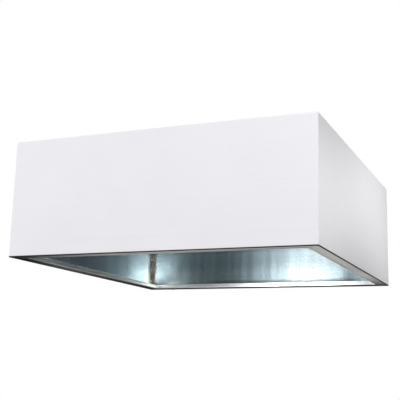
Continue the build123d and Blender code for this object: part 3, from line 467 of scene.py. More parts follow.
@dataclass(frozen=True)
class MetalFinish(Finish):
    """Bare or plated metal with a lay, faint clouds, hand marks and dust, and painted shade where a
    finish gives it.
    """

    lay: Lay = Lay.LEVEL
    grain: float = 0.12
    grain_depth: float = 0.05 * MM
    grain_roughness: float = 0.3
    tone: float = 0.06
    clouds: float = 0.05
    marks: float = 0.08
    mark_share: float = 0.4
    dust: float = 0.0
    dust_colour: Colour = (0.55, 0.53, 0.50)
    dust_roughness: float = 0.9
    anisotropy: float = 0.0
    quarter_turn: float = 0.25
    # Colour of the painted shade, which also takes away the metal's shine.
    shade_colour: Colour = (0.05, 0.05, 0.045)
    specular: float = 0.5
    # Where the painted shade of the undersides grows, towards the left and the rear.
    shaded_side_from: Span = (0.15, 0.58)

    def tint(self, desk: NodeDesk, place: Socket) -> Value:
        """Colour of the clean metal. Finishes that vary it over the part override this."""
        return self.colour

    def gloss(self, desk: NodeDesk, place: Socket) -> Value:
        """Roughness of the clean metal."""
        return self.roughness

    def bow(self, desk: NodeDesk, place: Socket) -> Optional[Socket]:
        """Normal of a sheet that bows a little, or nothing where the metal is stiff."""
        return None

    def painted_shade(self, desk: NodeDesk, place: Socket) -> Optional[Socket]:
        """Share of the surface painted dark as shade, or nothing where none is."""
        return None

    def shaded_side(self, desk: NodeDesk, place: Socket) -> Socket:
        """Painted shade side: 0 at the front right, 1 to the left and the rear."""
        left = desk.times(desk.part(place, X), -1.0)
        return desk.spread(desk.math("MAXIMUM", left, desk.part(place, Y)), self.shaded_side_from)

    @staticmethod
    def down(desk: NodeDesk, span: Span) -> Socket:
        """0 on faces that look down by less than the span's start, 1 beyond its end."""
        return desk.spread(desk.part(desk.normal(), Z), (-span[0], -span[1]))

    def shade(self, desk: NodeDesk, place: Socket, tone: Socket) -> Socket:
        """Colour of the metal before dust and painted shade.

        Args:
            desk: The material's desk.
            place: The object coordinates.
            tone: Tone of the metal's lines.

        Returns:
            The clean colour, a little darker in its lines and clouds.
        """
        cloud = Clouding().place(desk, Place=place, Per_Metre=3.5, Seed=1.7)[0]
        lines = desk.spread(tone, NOISE_RANGE, (1.0 - self.tone, 1.0))
        level = desk.times(lines, desk.spread(cloud, WHOLE, (1.0 - self.clouds, 1.0)))
        return desk.blend(1.0, self.tint(desk, place), desk.grey(level), "MULTIPLY")

    def polish(self, desk: NodeDesk, place: Socket, tone: Socket) -> Socket:
        """Roughness of the metal before dust.

        Args:
            desk: The material's desk.
            place: The object coordinates.
            tone: Tone of the metal's lines.

        Returns:
            The roughness, higher in hand marks and uneven in the lines.
        """
        mark = HandMarks().place(desk, Place=place, Share=self.mark_share)[0]
        rough = desk.math("ADD", self.gloss(desk, place), desk.times(mark, self.marks))
        reach = self.grain * self.grain_roughness
        return desk.math("ADD", rough, desk.spread(tone, NOISE_RANGE, (-reach, reach)))

    def relief(self, desk: NodeDesk, place: Socket, height: Socket) -> Socket:
        """Normal of the metal's surface.

        Args:
            desk: The material's desk.
            place: The object coordinates.
            height: Height of the metal's lines.

        Returns:
            The normal with the lines in it.
        """
        inputs = {"Height": height, "Strength": self.grain, "Distance": self.grain_depth}
        bowed = self.bow(desk, place)
        if bowed is not None:
            inputs["Normal"] = bowed
        return desk.node("ShaderNodeBump", inputs).outputs[0]

    def material(self) -> bpy.types.Material:
        """Makes metal whose colour, roughness and relief change over the surface.

        Returns:
            The material.
        """
        material, desk, shader, place = self.start()
        lines = DrawnGrain().place(desk, Place=place, Stretch=self.lay.value, Seed=3.0)
        colour = self.shade(desk, place, lines["Tone"])
        rough = self.polish(desk, place, lines["Tone"])
        metallic: Value = 1.0
        if self.dust:
            dust = SettledDust().place(desk, Place=place, Amount=self.dust)[0]
            colour = desk.blend(dust, colour, self.dust_colour)
            rough = desk.between(dust, rough, self.dust_roughness)
            metallic = desk.math("SUBTRACT", 1.0, dust)
        # Painted shade: dark, not metallic and without specular where the mask is.
        painted_shade = self.painted_shade(desk, place)
        if painted_shade is not None:
            bright = desk.math("SUBTRACT", 1.0, painted_shade)
            colour = desk.blend(painted_shade, colour, self.shade_colour)
            metallic = desk.times(metallic, bright)
            desk.put(desk.times(bright, self.specular), shader["Specular IOR Level"])
        desk.put(colour, shader["Base Color"])
        desk.put(rough, shader["Roughness"])
        desk.put(metallic, shader["Metallic"])
        desk.put(self.relief(desk, place, lines["Height"]), shader["Normal"])
        if self.anisotropy:
            shader["Anisotropic"].default_value = self.anisotropy
            shader["Anisotropic Rotation"].default_value = self.quarter_turn
            round_z = desk.node("ShaderNodeTangent", direction_type="RADIAL", axis="Z")
            desk.put(round_z.outputs[0], shader["Tangent"])
        return material


@dataclass(frozen=True)
class WallFinish(MetalFinish):
    """Wall sheet: satin outside, bluish mill finish inside, darker along its corners, with a
    painted highlight, painted reflection streaks and painted shade.
    """

    inside: Colour = (0.45, 0.54, 0.57)
    inside_roughness: float = 0.22
    half: float = 600 * MM
    outward_from: float = -0.05
    # Painted reflection: upright streaks in the inner colour.
    reflection_streak_level: float = 0.72
    # Painted shade: a darker band low on the inner walls, to the right.
    shade_band: Span = (28 * MM, 50 * MM)
    shade_band_level: float = 0.45
    shade_band_from: Span = (-450 * MM, -200 * MM)
    # Painted highlight: a brighter patch low down near the corners of the inner walls.
    painted_highlight: Colour = (0.72, 0.79, 0.81)
    highlight_from: Span = (420 * MM, 500 * MM)
    highlight_height: Span = (220 * MM, 60 * MM)
    highlight_walls: Span = (480 * MM, 590 * MM)
    # Darker brown along the vertical corners of the inner walls.
    corner_dark: Colour = (0.15, 0.13, 0.105)
    corner_dark_width: float = 30 * MM
    corner_dark_full: float = 8 * MM
    corner_dark_patchy: Span = (0.7, 1.0)
    side_share: float = 0.45
    # Painted shade: faces that look down take this darker colour, and the bottom fold is painted
    # dark.
    rim: Colour = (0.46, 0.46, 0.43)
    fold_looks: Span = (0.05, 0.3)
    rim_looks: Span = (0.95, 0.99)
    fold_height: Span = (5.5 * MM, 3.0 * MM)
    middle: Point = (0.0, 0.0, 225 * MM)
    fullness: Point = (0.12, 0.12, 0.30)
    front_share: float = 0.1

    def outward(self, desk: NodeDesk, place: Socket) -> Socket:
        """Tells the outer faces from the inner ones.

        Args:
            desk: The material's desk.
            place: The object coordinates.

        Returns:
            1 on faces that look away from the hood's middle, 0 on the inner faces.
        """
        level = desk.vector("MULTIPLY", place, LEVEL_PART)
        facing = desk.measure("DOT_PRODUCT", level, desk.normal())
        return desk.math("GREATER_THAN", facing, self.outward_from)

    def streaked(self, desk: NodeDesk, place: Socket) -> Socket:
        """Mill colour of the inner faces, with painted reflection streaks and painted shade.

        Args:
            desk: The material's desk.
            place: The object coordinates.

        Returns:
            The colour, with upright painted reflection streaks and a painted shade band low down on
            the right.
        """
        # Painted reflection: upright streaks, as reflections smeared up and down.
        grain = DrawnGrain().place(desk, Place=place, Stretch=Lay.UPRIGHT.value, Seed=6.0)
        reflection_streaks = desk.spread(grain["Tone"], NOISE_CORE, (self.reflection_streak_level, 1.0))
        inner = desk.blend(1.0, self.inside, desk.grey(reflection_streaks), "MULTIPLY")
        # Painted shade: a darker band just above the gutters.
        low = desk.spread(desk.part(place, Z), self.shade_band, (self.shade_band_level, 1.0))
        low = desk.between(desk.spread(desk.part(place, X), self.shade_band_from), 1.0, low)
        return desk.blend(1.0, inner, desk.grey(low), "MULTIPLY")

    def tint(self, desk: NodeDesk, place: Socket) -> Value:
        """Colours the outside satin, and the inside as mill sheet with a painted highlight, darker
        corners and painted shade.

        Args:
            desk: The material's desk.
            place: The object coordinates.

        Returns:
            The colour: a painted highlight low near the corners, darker along the corner seams,
                painted shade underneath.
        """
        depth = desk.math("ABSOLUTE", desk.part(place, Y))
        near_side = desk.times(depth, self.side_share)
        near_side = desk.math("ADD", near_side, self.half * (1 - self.side_share))
        across = desk.math("ABSOLUTE", desk.part(place, X))
        corner = desk.math("MINIMUM", across, near_side)
        # Darker along the vertical corner seams, in patches.
        seam = (self.half - self.corner_dark_width, self.half - self.corner_dark_full)
        cloud = Clouding().place(desk, Place=place, Per_Metre=22.0, Seed=8.0)[0]
        patchy = desk.spread(cloud, WHOLE, self.corner_dark_patchy)
        darkened = desk.times(desk.spread(corner, seam), patchy)
        # Painted highlight low down near the corners.
        low = desk.spread(desk.part(place, Z), self.highlight_height)
        painted_highlight = desk.times(desk.spread(corner, self.highlight_from), low)
        painted_highlight = desk.times(painted_highlight, desk.spread(depth, self.highlight_walls))
        inner = desk.blend(painted_highlight, self.streaked(desk, place), self.painted_highlight)
        inner = desk.blend(darkened, inner, self.corner_dark)
        walls = desk.blend(self.outward(desk, place), inner, self.colour)
        # Painted shade on faces that look down.
        return desk.blend(self.down(desk, self.fold_looks), walls, self.rim)

    def painted_shade(self, desk: NodeDesk, place: Socket) -> Optional[Socket]:
        """Finds the share of the rim painted dark as shade.

        Args:
            desk: The material's desk.
            place: The object coordinates.

        Returns:
            The bottom fold all round, and the flat rim behind it to the left and the rear.
        """
        # Painted shade: the bottom fold is dark all round.
        low = desk.spread(desk.part(place, Z), self.fold_height)
        fold = desk.math("MAXIMUM", self.down(desk, self.fold_looks), low)
        return desk.between(self.down(desk, self.rim_looks), fold, self.shaded_side(desk, place))

    def gloss(self, desk: NodeDesk, place: Socket) -> Value:
        """Duller outside than inside."""
        return desk.between(self.outward(desk, place), self.inside_roughness, self.roughness)

    def bow(self, desk: NodeDesk, place: Socket) -> Optional[Socket]:
        """Makes the walls a little fuller in the middle than along their folds.

        Args:
            desk: The material's desk.
            place: The object coordinates.

        Returns:
            The normal, which leans outwards away from the middle of the outer faces.
        """
        normal = desk.normal()
        sideways = desk.math("ABSOLUTE", desk.part(normal, X))
        share = desk.spread(sideways, WHOLE, (self.front_share, 1.0))
        away = desk.vector("SUBTRACT", place, self.middle)
        away = desk.vector("MULTIPLY", away, desk.join(1.0, 1.0, share))
        lean = desk.vector("MULTIPLY", away, self.fullness)
        through = desk.scaled(normal, desk.measure("DOT_PRODUCT", lean, normal))
        lean = desk.vector("SUBTRACT", lean, through)
        lean = desk.scaled(lean, self.outward(desk, place))
        return desk.vector("NORMALIZE", desk.vector("ADD", normal, lean))


@dataclass(frozen=True)
class GutterFinish(MetalFinish):
    """Gutter sheet, with painted shade underneath, darkest to the left and the rear, and on the
    left gutter.
    """

    # Painted shade on faces that look down.
    under: Colour = (0.56, 0.56, 0.52)
    under_looks: Span = (0.5, 0.9)
    shade_looks: Span = (0.3, 0.8)
    # Painted shade on the left gutter.
    left_lip_shade: Colour = (0.52, 0.52, 0.49)
    left_shade_from: Span = (-500 * MM, -545 * MM)

    def tint(self, desk: NodeDesk, place: Socket) -> Value:
        """Colours the channel.

        Args:
            desk: The material's desk.
            place: The object coordinates.

        Returns:
            The colour: bright on the lips, with painted shade on the left one and underneath.
        """
        # Painted shade on the left gutter and on faces that look down.
        left = desk.spread(desk.part(place, X), self.left_shade_from)
        lips = desk.blend(left, self.colour, self.left_lip_shade)
        return desk.blend(self.down(desk, self.under_looks), lips, self.under)

    def painted_shade(self, desk: NodeDesk, place: Socket) -> Optional[Socket]:
        """The part of the undersides painted dark as shade, to the left and the rear."""
        return desk.times(self.down(desk, self.shade_looks), self.shaded_side(desk, place))


@dataclass(frozen=True)
class MouldedFinish(Finish):
    """Plastic, rubber or sealant, with a fine peel and worn or dusty patches."""

    peel: float = 0.15
    peel_depth: float = 0.2 * MM
    per_metre: float = 900.0
    worn: Colour = (0.5, 0.5, 0.5)
    wear: float = 0.1
    wear_roughness: float = 0.12
    coat: float = 0.0
    dark_share: float = 0.82
    uneven: float = 0.05

    def material(self) -> bpy.types.Material:
        """Makes a matte or glossy material with fine relief.

        Returns:
            The material.
        """
        material, desk, shader, place = self.start()
        cloud = Clouding().place(desk, Place=place, Per_Metre=60.0, Seed=2.0)[0]
        mark = HandMarks().place(desk, Place=place, Per_Metre=80.0, Share=0.5)[0]
        dark = tuple(self.dark_share * channel for channel in self.colour)
        colour = desk.blend(cloud, dark, self.colour)
        worn = desk.times(mark, self.wear, clamp=True)
        desk.put(desk.blend(worn, colour, self.worn), shader["Base Color"])
        levels = (self.roughness - self.uneven, self.roughness + self.uneven)
        rough = desk.spread(cloud, WHOLE, levels)
        rough = desk.math("ADD", rough, desk.times(mark, self.wear_roughness))
        desk.put(rough, shader["Roughness"])
        height = FinePeel().place(desk, Place=place, Per_Metre=self.per_metre)[0]
        relief = {"Height": height, "Strength": self.peel, "Distance": self.peel_depth}
        desk.put(desk.node("ShaderNodeBump", relief).outputs[0], shader["Normal"])
        shader["Coat Weight"].default_value = self.coat
        return material


def all_finishes() -> List[Finish]:
    """Lists the finishes.

    Returns:
        The finish of every material slot, and the weld marks' own one.
    """
    metal, moulded, fine = MetalFinish, MouldedFinish, Lay.FINE
    walls = {"anisotropy": 0.85, "grain": 0.05, "tone": 0.02, "clouds": 0.02, "marks": 0.01}
    return [
        WallFinish("satin_panel", (0.94, 0.93, 0.965), 0.30, **walls),
        GutterFinish("gutter_sheet", (0.80, 0.80, 0.79), 0.30, anisotropy=0.6, marks=0.03),
        metal("mill_sheet", (0.66, 0.67, 0.69), 0.33, Lay.ALONG_X, dust=0.25, clouds=0.12),
        metal("bracket_steel", (0.58, 0.58, 0.59), 0.45, fine, grain=0.3, dust=0.2, clouds=0.15),
        metal("rivet_steel", (0.70, 0.70, 0.71), 0.25, fine, grain=0.05),
        metal("weld_mark", (0.36, 0.31, 0.26), 0.35, fine, grain=0.2, clouds=0.25),
        metal("fastener_steel", (0.62, 0.62, 0.63), 0.28, Lay.ROUND_Z, grain=0.1),
        metal("damper_steel", (0.60, 0.61, 0.63), 0.35, Lay.ALONG_Y, clouds=0.12),
        metal("plated_brass", (0.70, 0.68, 0.62), 0.22, fine, grain=0.08, clouds=0.10),
        metal("ball_chrome", (0.78, 0.78, 0.80), 0.08, fine, grain=0.02, clouds=0.02),
        moulded("sealant", (0.10, 0.10, 0.105), 0.45, peel=0.35, per_metre=400.0),
        moulded("gasket_rubber", (0.03, 0.03, 0.032), 0.7, peel=0.3, worn=(0.2, 0.2, 0.2)),
        moulded("bush_plastic", (0.78, 0.76, 0.70), 0.4),
        moulded("seat_plastic", (0.85, 0.85, 0.83), 0.3),
        moulded("grip_plastic", (0.03, 0.08, 0.30), 0.32, coat=0.2, worn=(0.25, 0.3, 0.45)),
    ]


@dataclass(frozen=True)
class Seat:
    """Where one repeated piece sits, in millimetres, and which way it looks."""

    place: Point
    facing: Point = UP


def seat_mesh(seats: Sequence[Seat]) -> bpy.types.Mesh:
    """Makes bare points that carry the direction that each piece faces.

    Args:
        seats: The places.

    Returns:
        The mesh, in metres.
    """
    mesh = bpy.data.meshes.new("seats")
    mesh.from_pydata([Vector(seat.place) * MM for seat in seats], [], [])
    facing = mesh.attributes.new("facing", "FLOAT_VECTOR", "POINT")
    facing.data.foreach_set("vector", [part for seat in seats for part in seat.facing])
    return mesh


def run_mesh(runs: Sequence[Tuple[Point, Point]]) -> bpy.types.Mesh:
    """Makes straight lines that a bead follows.

    Args:
        runs: Start and end of each line, in millimetres.

    Returns:
        The mesh, in metres.
    """
    mesh = bpy.data.meshes.new("runs")
    ends = [Vector(end) * MM for run in runs for end in run]
    mesh.from_pydata(ends, [(2 * number, 2 * number + 1) for number in range(len(runs))], [])
    return mesh


def along(start: float, end: float, count: int) -> List[float]:
    """Equally spaced numbers from start to end."""
    return [start + (end - start) * number / (count - 1) for number in range(count)]


class Recipe:
    """A Geometry Nodes tree that repeats or sweeps a shape. It is built once and often run."""

    label = ""
    takes: Tuple[Port, ...] = ()

    def draw(self, desk: NodeDesk, takes: bpy.types.NodeOutputs) -> Socket:
        """Adds the tree's nodes.

        Args:
            desk: The tree's desk.
            takes: The tree's inputs. The first is the points or lines.

        Returns:
            The shape's socket.
        """
        raise NotImplementedError

    def tree(self) -> bpy.types.NodeTree:
        """Builds the recipe when it is first asked for.

        Returns:
            The recipe's tree.
        """
        made = bpy.data.node_groups.get(self.label)
        if made is None:
            made = bpy.data.node_groups.new(self.label, "GeometryNodeTree")
            shape = Port("Geometry", "NodeSocketGeometry")
            add_ports(made, (shape, *self.takes, Port("Material", "NodeSocketMaterial")), "INPUT")
            add_ports(made, (shape,), "OUTPUT")
            desk = NodeDesk(made)
            takes = desk.node("NodeGroupInput").outputs
            real = desk.node("GeometryNodeRealizeInstances", {0: self.draw(desk, takes)})
            inputs = {"Geometry": real.outputs[0], "Material": takes["Material"]}
            dressed = desk.node("GeometryNodeSetMaterial", inputs)
            desk.node("NodeGroupOutput", {0: dressed.outputs[0]})
        return made

    def run(self, name: str, base: bpy.types.Mesh, values: Dict[str, Value]) -> bpy.types.Object:
        """Runs the recipe on points or lines and keeps the result as a plain mesh.

        Args:
            name: Name of the piece.
            base: The points or lines.
            values: The recipe's inputs by name, lengths in metres.

        Returns:
            The piece, at the origin and with no modifier.
        """
        draft = bpy.data.objects.new(name, base)
        bpy.context.scene.collection.objects.link(draft)
        modifier = draft.modifiers.new("recipe", "NODES")
        modifier.node_group = self.tree()
        for item in modifier.node_group.interface.items_tree:
            if item.in_out == "INPUT" and item.name in values:
                modifier[item.identifier] = values[item.name]
        evaluated = draft.evaluated_get(bpy.context.evaluated_depsgraph_get())
        mesh = bpy.data.meshes.new_from_object(evaluated)
        bpy.data.objects.remove(draft)
        bpy.data.meshes.remove(base)
        piece = bpy.data.objects.new(name, mesh)
        mesh.name = name
        bpy.context.scene.collection.objects.link(piece)
        return piece

    @staticmethod
    def crisp(desk: NodeDesk, shape: Socket, angle: float = 0.6) -> Socket:
        """Shades a shape smooth, but for its sharp edges.

        Args:
            desk: The tree's desk.
            shape: The shape.
            angle: Turn, in radians, past which an edge is sharp.

        Returns:
            The shaded shape.
        """
        smooth = desk.node("GeometryNodeSetShadeSmooth", {"Geometry": shape, "Shade Smooth": True})
        turn = desk.node("GeometryNodeInputMeshEdgeAngle").outputs["Unsigned Angle"]
        settings = {"data_type": "FLOAT", "operation": "GREATER_THAN"}
        sharp = desk.node("FunctionNodeCompare", {0: turn, 1: angle}, **settings).outputs[0]
        inputs = {"Geometry": smooth.outputs[0], "Selection": sharp, "Shade Smooth": False}
        return desk.node("GeometryNodeSetShadeSmooth", inputs, domain="EDGE").outputs[0]

    @staticmethod
    def on_seats(
        desk: NodeDesk, takes: bpy.types.NodeOutputs, shape: Socket, lean: float
    ) -> Socket:
        """Sets one copy of a shape on each seat, turned at random about its own axis.

        Args:
            desk: The tree's desk.
            takes: The tree's inputs, with the seats and a Seed.
            shape: The shape, upright at the origin.
            lean: How far it may lean, in radians.

        Returns:
            The copies.
        """
        settings = {"data_type": "FLOAT_VECTOR"}
        facing = desk.node("GeometryNodeInputNamedAttribute", {"Name": "facing"}, **settings)
        inputs = {"Vector": facing.outputs[0]}
        upright = desk.node("FunctionNodeAlignRotationToVector", inputs, axis="Z")
        least, most = (-lean, -lean, 0.0), (lean, lean, 2 * math.pi)
        inputs = {0: least, 1: most, "Seed": takes["Seed"]}
        chance = desk.node("FunctionNodeRandomValue", inputs, **settings)
        turn = desk.node("FunctionNodeEulerToRotation", {0: chance.outputs[0]})
        inputs = {"Rotation": upright.outputs[0], "Rotate By": turn.outputs[0]}
        turned = desk.node("FunctionNodeRotateRotation", inputs, rotation_space="LOCAL")
        inputs = {"Points": takes[0], "Instance": shape, "Rotation": turned.outputs[0]}
        return desk.node("GeometryNodeInstanceOnPoints", inputs).outputs[0]


class TurnedRecipe(Recipe):
    """Turns a cylinder into an outline, as on a lathe, and sets one on each seat.

    Its rows are one fewer than the numbers of each outline.
    """

    sides = 18
    rows = 15
    sharp_angle = 0.6
    lean = 0.02

    def outline(
        self, desk: NodeDesk, takes: bpy.types.NodeOutputs, share: Socket
    ) -> Tuple[Socket, Socket]:
        """Gives the outline at one share of its length.

        Args:
            desk: The tree's desk.
            takes: The tree's inputs.
            share: The share of the length, from 0 to 1.

        Returns:
            The outline's radius and height there.
        """
        raise NotImplementedError

    def draw(self, desk: NodeDesk, takes: bpy.types.NodeOutputs) -> Socket:
        """Adds the cylinder, its turning and its copies.

        Args:
            desk: The tree's desk.
            takes: The tree's inputs.

        Returns:
            The copies.
        """
        inputs = {"Vertices": self.sides, "Side Segments": self.rows, "Radius": 1.0, "Depth": 1.0}
        blank = desk.node("GeometryNodeMeshCylinder", inputs, fill_type="TRIANGLE_FAN")
        place = desk.node("GeometryNodeInputPosition").outputs[0]
        share = desk.math("ADD", desk.part(place, Z), 0.5)
        radius, height = self.outline(desk, takes, share)
        x = desk.times(desk.part(place, X), radius)
        y = desk.times(desk.part(place, Y), radius)
        inputs = {"Geometry": blank.outputs["Mesh"], "Position": desk.join(x, y, height)}
        turned = desk.node("GeometryNodeSetPosition", inputs).outputs[0]
        return self.on_seats(desk, takes, self.crisp(desk, turned, self.sharp_angle), self.lean)


class BlindRivets(TurnedRecipe):
    """Blind rivets: a domed head with the broken mandrel in its hollow, and a bulged tail.

    Each outline is the share of a size at equal steps from the tail's end to the mandrel's.
    """

    label = "blind rivets"
    takes = (
        Port("Head Radius", "NodeSocketFloat", 4.0 * MM),
        Port("Head Height", "NodeSocketFloat", 1.4 * MM),
        Port("Grip", "NodeSocketFloat", 2.0 * MM),
        Port("Tail Radius", "NodeSocketFloat", 3.0 * MM),
        Port("Tail Length", "NodeSocketFloat", 4.5 * MM),
        Port("Seed", "NodeSocketInt", 1),
    )
    tail_reach = (0.18, 0.50, 0.78, 0.95, 1.0, 0.95, 0.72, 0.66, 0, 0, 0, 0, 0, 0, 0, 0)
    tail_drop = (1.0, 0.99, 0.90, 0.66, 0.38, 0.12, 0.02, 0, 0, 0, 0, 0, 0, 0, 0, 0)
    grip_drop = (1.0, 1.0, 1.0, 1.0, 1.0, 1.0, 1.0, 0, 0, 0, 0, 0, 0, 0, 0, 0)
    head_reach = (0, 0, 0, 0, 0, 0, 0, 0, 1.0, 0.97, 0.78, 0.45, 0.30, 0.27, 0.18, 0.15)
    head_rise = (0, 0, 0, 0, 0, 0, 0, 0, 0, 0.30, 0.80, 1.0, 0.97, 0.55, 0.52, 0.74)

    def outline(
        self, desk: NodeDesk, takes: bpy.types.NodeOutputs, share: Socket
    ) -> Tuple[Socket, Socket]:
        """Adds up the tail, the grip and the head.

        Args:
            desk: The tree's desk.
            takes: The tree's inputs.
            share: The share of the length, from 0 to 1.

        Returns:
            The rivet's radius and height there.
        """
        tail = desk.times(desk.steps(share, self.tail_reach), takes["Tail Radius"])
        head = desk.times(desk.steps(share, self.head_reach), takes["Head Radius"])
        rise = desk.times(desk.steps(share, self.head_rise), takes["Head Height"])
        grip = desk.times(desk.steps(share, self.grip_drop), takes["Grip"])
        drop = desk.times(desk.steps(share, self.tail_drop), takes["Tail Length"])
        height = desk.math("SUBTRACT", desk.math("SUBTRACT", rise, grip), drop)
        return desk.math("ADD", tail, head), height


class SpotWelds(TurnedRecipe):
    """Shallow round marks that a spot welder leaves: a dished button with a raised rim."""

    label = "spot welds"
    takes = (
        Port("Radius", "NodeSocketFloat", 3.0 * MM),
        Port("Height", "NodeSocketFloat", 0.2 * MM),
        Port("Seed", "NodeSocketInt", 1),
    )
    sides = 20
    rows = 6
    sharp_angle = 1.0
    lean = 0.01
    reach = (1.02, 1.0, 0.93, 0.84, 0.72, 0.40, 0.12)
    rise = (0, 0.2, 1.0, 0.75, 0.2, 0.12, 0.15)

    def outline(
        self, desk: NodeDesk, takes: bpy.types.NodeOutputs, share: Socket
    ) -> Tuple[Socket, Socket]:
        """The button's radius and height, both as shares of its sizes."""
        radius = desk.times(desk.steps(share, self.reach), takes["Radius"])
        return radius, desk.times(desk.steps(share, self.rise), takes["Height"])


class CutThread(Recipe):
    """The ridge of a screw thread, round an axis that starts at each seat."""

    label = "cut thread"
    takes = (
        Port("Radius", "NodeSocketFloat", 3.0 * MM),
        Port("Length", "NodeSocketFloat", 3.0 * MM),
        Port("Pitch", "NodeSocketFloat", 1.0 * MM),
        Port("Ridge", "NodeSocketFloat", 0.3 * MM),
        Port("Seed", "NodeSocketInt", 1),
    )
    steps_per_turn = 28
    ridge_sides = 3

    def draw(self, desk: NodeDesk, takes: bpy.types.NodeOutputs) -> Socket:
        """Sweeps a small triangle along a spiral.

        Args:
            desk: The tree's desk.
            takes: The tree's inputs.

        Returns:
            The threads.
        """
        inputs = {
            "Resolution": self.steps_per_turn,
            "Rotations": desk.math("DIVIDE", takes["Length"], takes["Pitch"]),
            "Start Radius": takes["Radius"],
            "End Radius": takes["Radius"],
            "Height": takes["Length"],
        }
        spiral = desk.node("GeometryNodeCurveSpiral", inputs).outputs[0]
        inputs = {"Resolution": self.ridge_sides, "Radius": takes["Ridge"]}
        ridge = desk.node("GeometryNodeCurvePrimitiveCircle", inputs).outputs[0]
        inputs = {"Curve": spiral, "Profile Curve": ridge, "Fill Caps": True}
        swept = desk.node("GeometryNodeCurveToMesh", inputs).outputs[0]
        return self.on_seats(desk, takes, self.crisp(desk, swept), 0.0)


class SealantBead(Recipe):
    """A gunned bead of sealant, a little uneven along its run."""

    label = "sealant bead"
    takes = (
        Port("Radius", "NodeSocketFloat", 1.2 * MM),
        Port("Uneven", "NodeSocketFloat", 0.35 * MM),
        Port("Step", "NodeSocketFloat", 5.0 * MM),
        Port("Seed", "NodeSocketFloat", 1.0),
    )
    sides = 8
    lumps_per_metre = 70.0

    def draw(self, desk: NodeDesk, takes: bpy.types.NodeOutputs) -> Socket:
        """Sweeps a circle along the runs, then pushes it in and out by a noise.

        Args:
            desk: The tree's desk.
            takes: The tree's inputs.

        Returns:
            The beads.
        """
        lines = desk.node("GeometryNodeMeshToCurve", {0: takes[0]}).outputs[0]
        inputs = {"Curve": lines, "Length": takes["Step"]}
        fine = desk.node("GeometryNodeResampleCurve", inputs, mode="LENGTH").outputs[0]
        inputs = {"Resolution": self.sides, "Radius": takes["Radius"]}
        ring = desk.node("GeometryNodeCurvePrimitiveCircle", inputs).outputs[0]
        inputs = {"Curve": fine, "Profile Curve": ring, "Fill Caps": True}
        swept = desk.node("GeometryNodeCurveToMesh", inputs).outputs[0]
        noise = desk.noise(self.lumps_per_metre, detail=2.0, W=takes["Seed"])
        push = desk.times(desk.math("SUBTRACT", noise, 0.5), takes["Uneven"])
        out = desk.scaled(desk.node("GeometryNodeInputNormal").outputs[0], push)
        moved = desk.node("GeometryNodeSetPosition", {"Geometry": swept, "Offset": out})
        inputs = {"Geometry": moved.outputs[0], "Shade Smooth": True}
        return desk.node("GeometryNodeSetShadeSmooth", inputs).outputs[0]


@dataclass(frozen=True)
class RivetSizes:
    """Sizes of one kind of blind rivet, in millimetres. The scale is that of all but its grip."""

    grip: float
    scale: float = 1.0
    tail: float = 4.5
    tail_radius: float = 3.0
    head_radius: float = 4.0
    head_height: float = 1.4

    def inputs(self) -> Dict[str, Value]:
        """Lists the recipe's inputs.

        Returns:
            The inputs by name, in metres.
        """
        return {
            "Head Radius": self.head_radius * self.scale * MM,
            "Head Height": self.head_height * self.scale * MM,
            "Grip": self.grip * MM,
            "Tail Radius": self.tail_radius * self.scale * MM,
            "Tail Length": self.tail * self.scale * MM,
        }


@dataclass(frozen=True)
class ThreadSizes:
    """Sizes of one thread, in millimetres. The ridge is a share of the pitch."""

    radius: float
    length: float
    pitch: float
    ridge: float = 0.3

    def inputs(self) -> Dict[str, Value]:
        """Lists the recipe's inputs.

        Returns:
            The inputs by name, in metres.
        """
        return {
            "Radius": self.radius * MM,
            "Length": self.length * MM,
            "Pitch": self.pitch * MM,
            "Ridge": self.ridge * self.pitch * MM,
        }


@dataclass
class Workshop:
    """The finishes by slot, and the fitting of made pieces to the hood."""

    finishes: Dict[str, bpy.types.Material]
    dressed: List[str] = field(default_factory=list)
    thread_seed: int = 5

    def dress(self, node: str) -> None:
        """Gives a carried-over CAD node the material of its slot.

        Args:
            node: The node's name.
        """
        slot = slot_of(node)
        materials = frame["nodes"][node].data.materials
        materials.clear()
        materials.append(self.finishes[slot])
        self.dressed.append(node)
        log.info("node %s: %s", node, slot)

    def fit(
        self, piece: bpy.types.Object, body: str, stands_for: Sequence[str] = ()
    ) -> None:
        """Fits a made piece to a body.

        Args:
            piece: The piece.
            body: The body that it rides on.
            stands_for: The CAD nodes that it replaces.
        """
        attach(piece, body)
        if stands_for:
            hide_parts(*stands_for)
            self.dressed.extend(stands_for)
        log.info("piece %s: %d faces, rides on %s", piece.name, len(piece.data.polygons), body)

    def rivet(
        self, name: str, seats: Sequence[Seat], sizes: RivetSizes, body: str = "canopy"
    ) -> None:
        """Makes one set of rivets in the place of its CAD node.

        Args:
            name: The CAD node. The piece is named after it.
            seats: Where each rivet's head meets the sheet.
            sizes: The rivets' sizes.
            body: The body that the set rides on.
        """
        values = {"Seed": len(seats), "Material": self.finishes["rivet_steel"], **sizes.inputs()}
        piece = BlindRivets().run(f"{name}_set", seat_mesh(seats), values)
        self.fit(piece, body, (name,))

    def thread(
        self,
        name: str,
        seats: Sequence[Seat],
        sizes: ThreadSizes,
        slot: str,
        body: str = "canopy",
    ) -> None:
        """Makes the ridges of one set of threads.

        Args:
            name: Name of the piece.
            seats: Where each thread starts, and its direction.
            sizes: The threads' sizes.
            slot: The slot of the threaded part.
            body: The body that the set rides on.
        """
        values = {"Seed": self.thread_seed, "Material": self.finishes[slot], **sizes.inputs()}
        self.fit(CutThread().run(name, seat_mesh(seats), values), body)


class SubAssembly:
    """A part of the hood that dresses its own CAD nodes and makes its own extra pieces."""

    label = ""
    nodes: Tuple[str, ...] = ()

    def make(self, shop: Workshop) -> None:
        """Makes the pieces that Blender adds."""
        raise NotImplementedError

    def build(self, shop: Workshop) -> None:
        """Dresses the nodes and makes the pieces.

        Args:
            shop: The workshop.
        """
        for node in self.nodes:
            shop.dress(node)
        self.make(shop)
        log.info("%s: done", self.label)


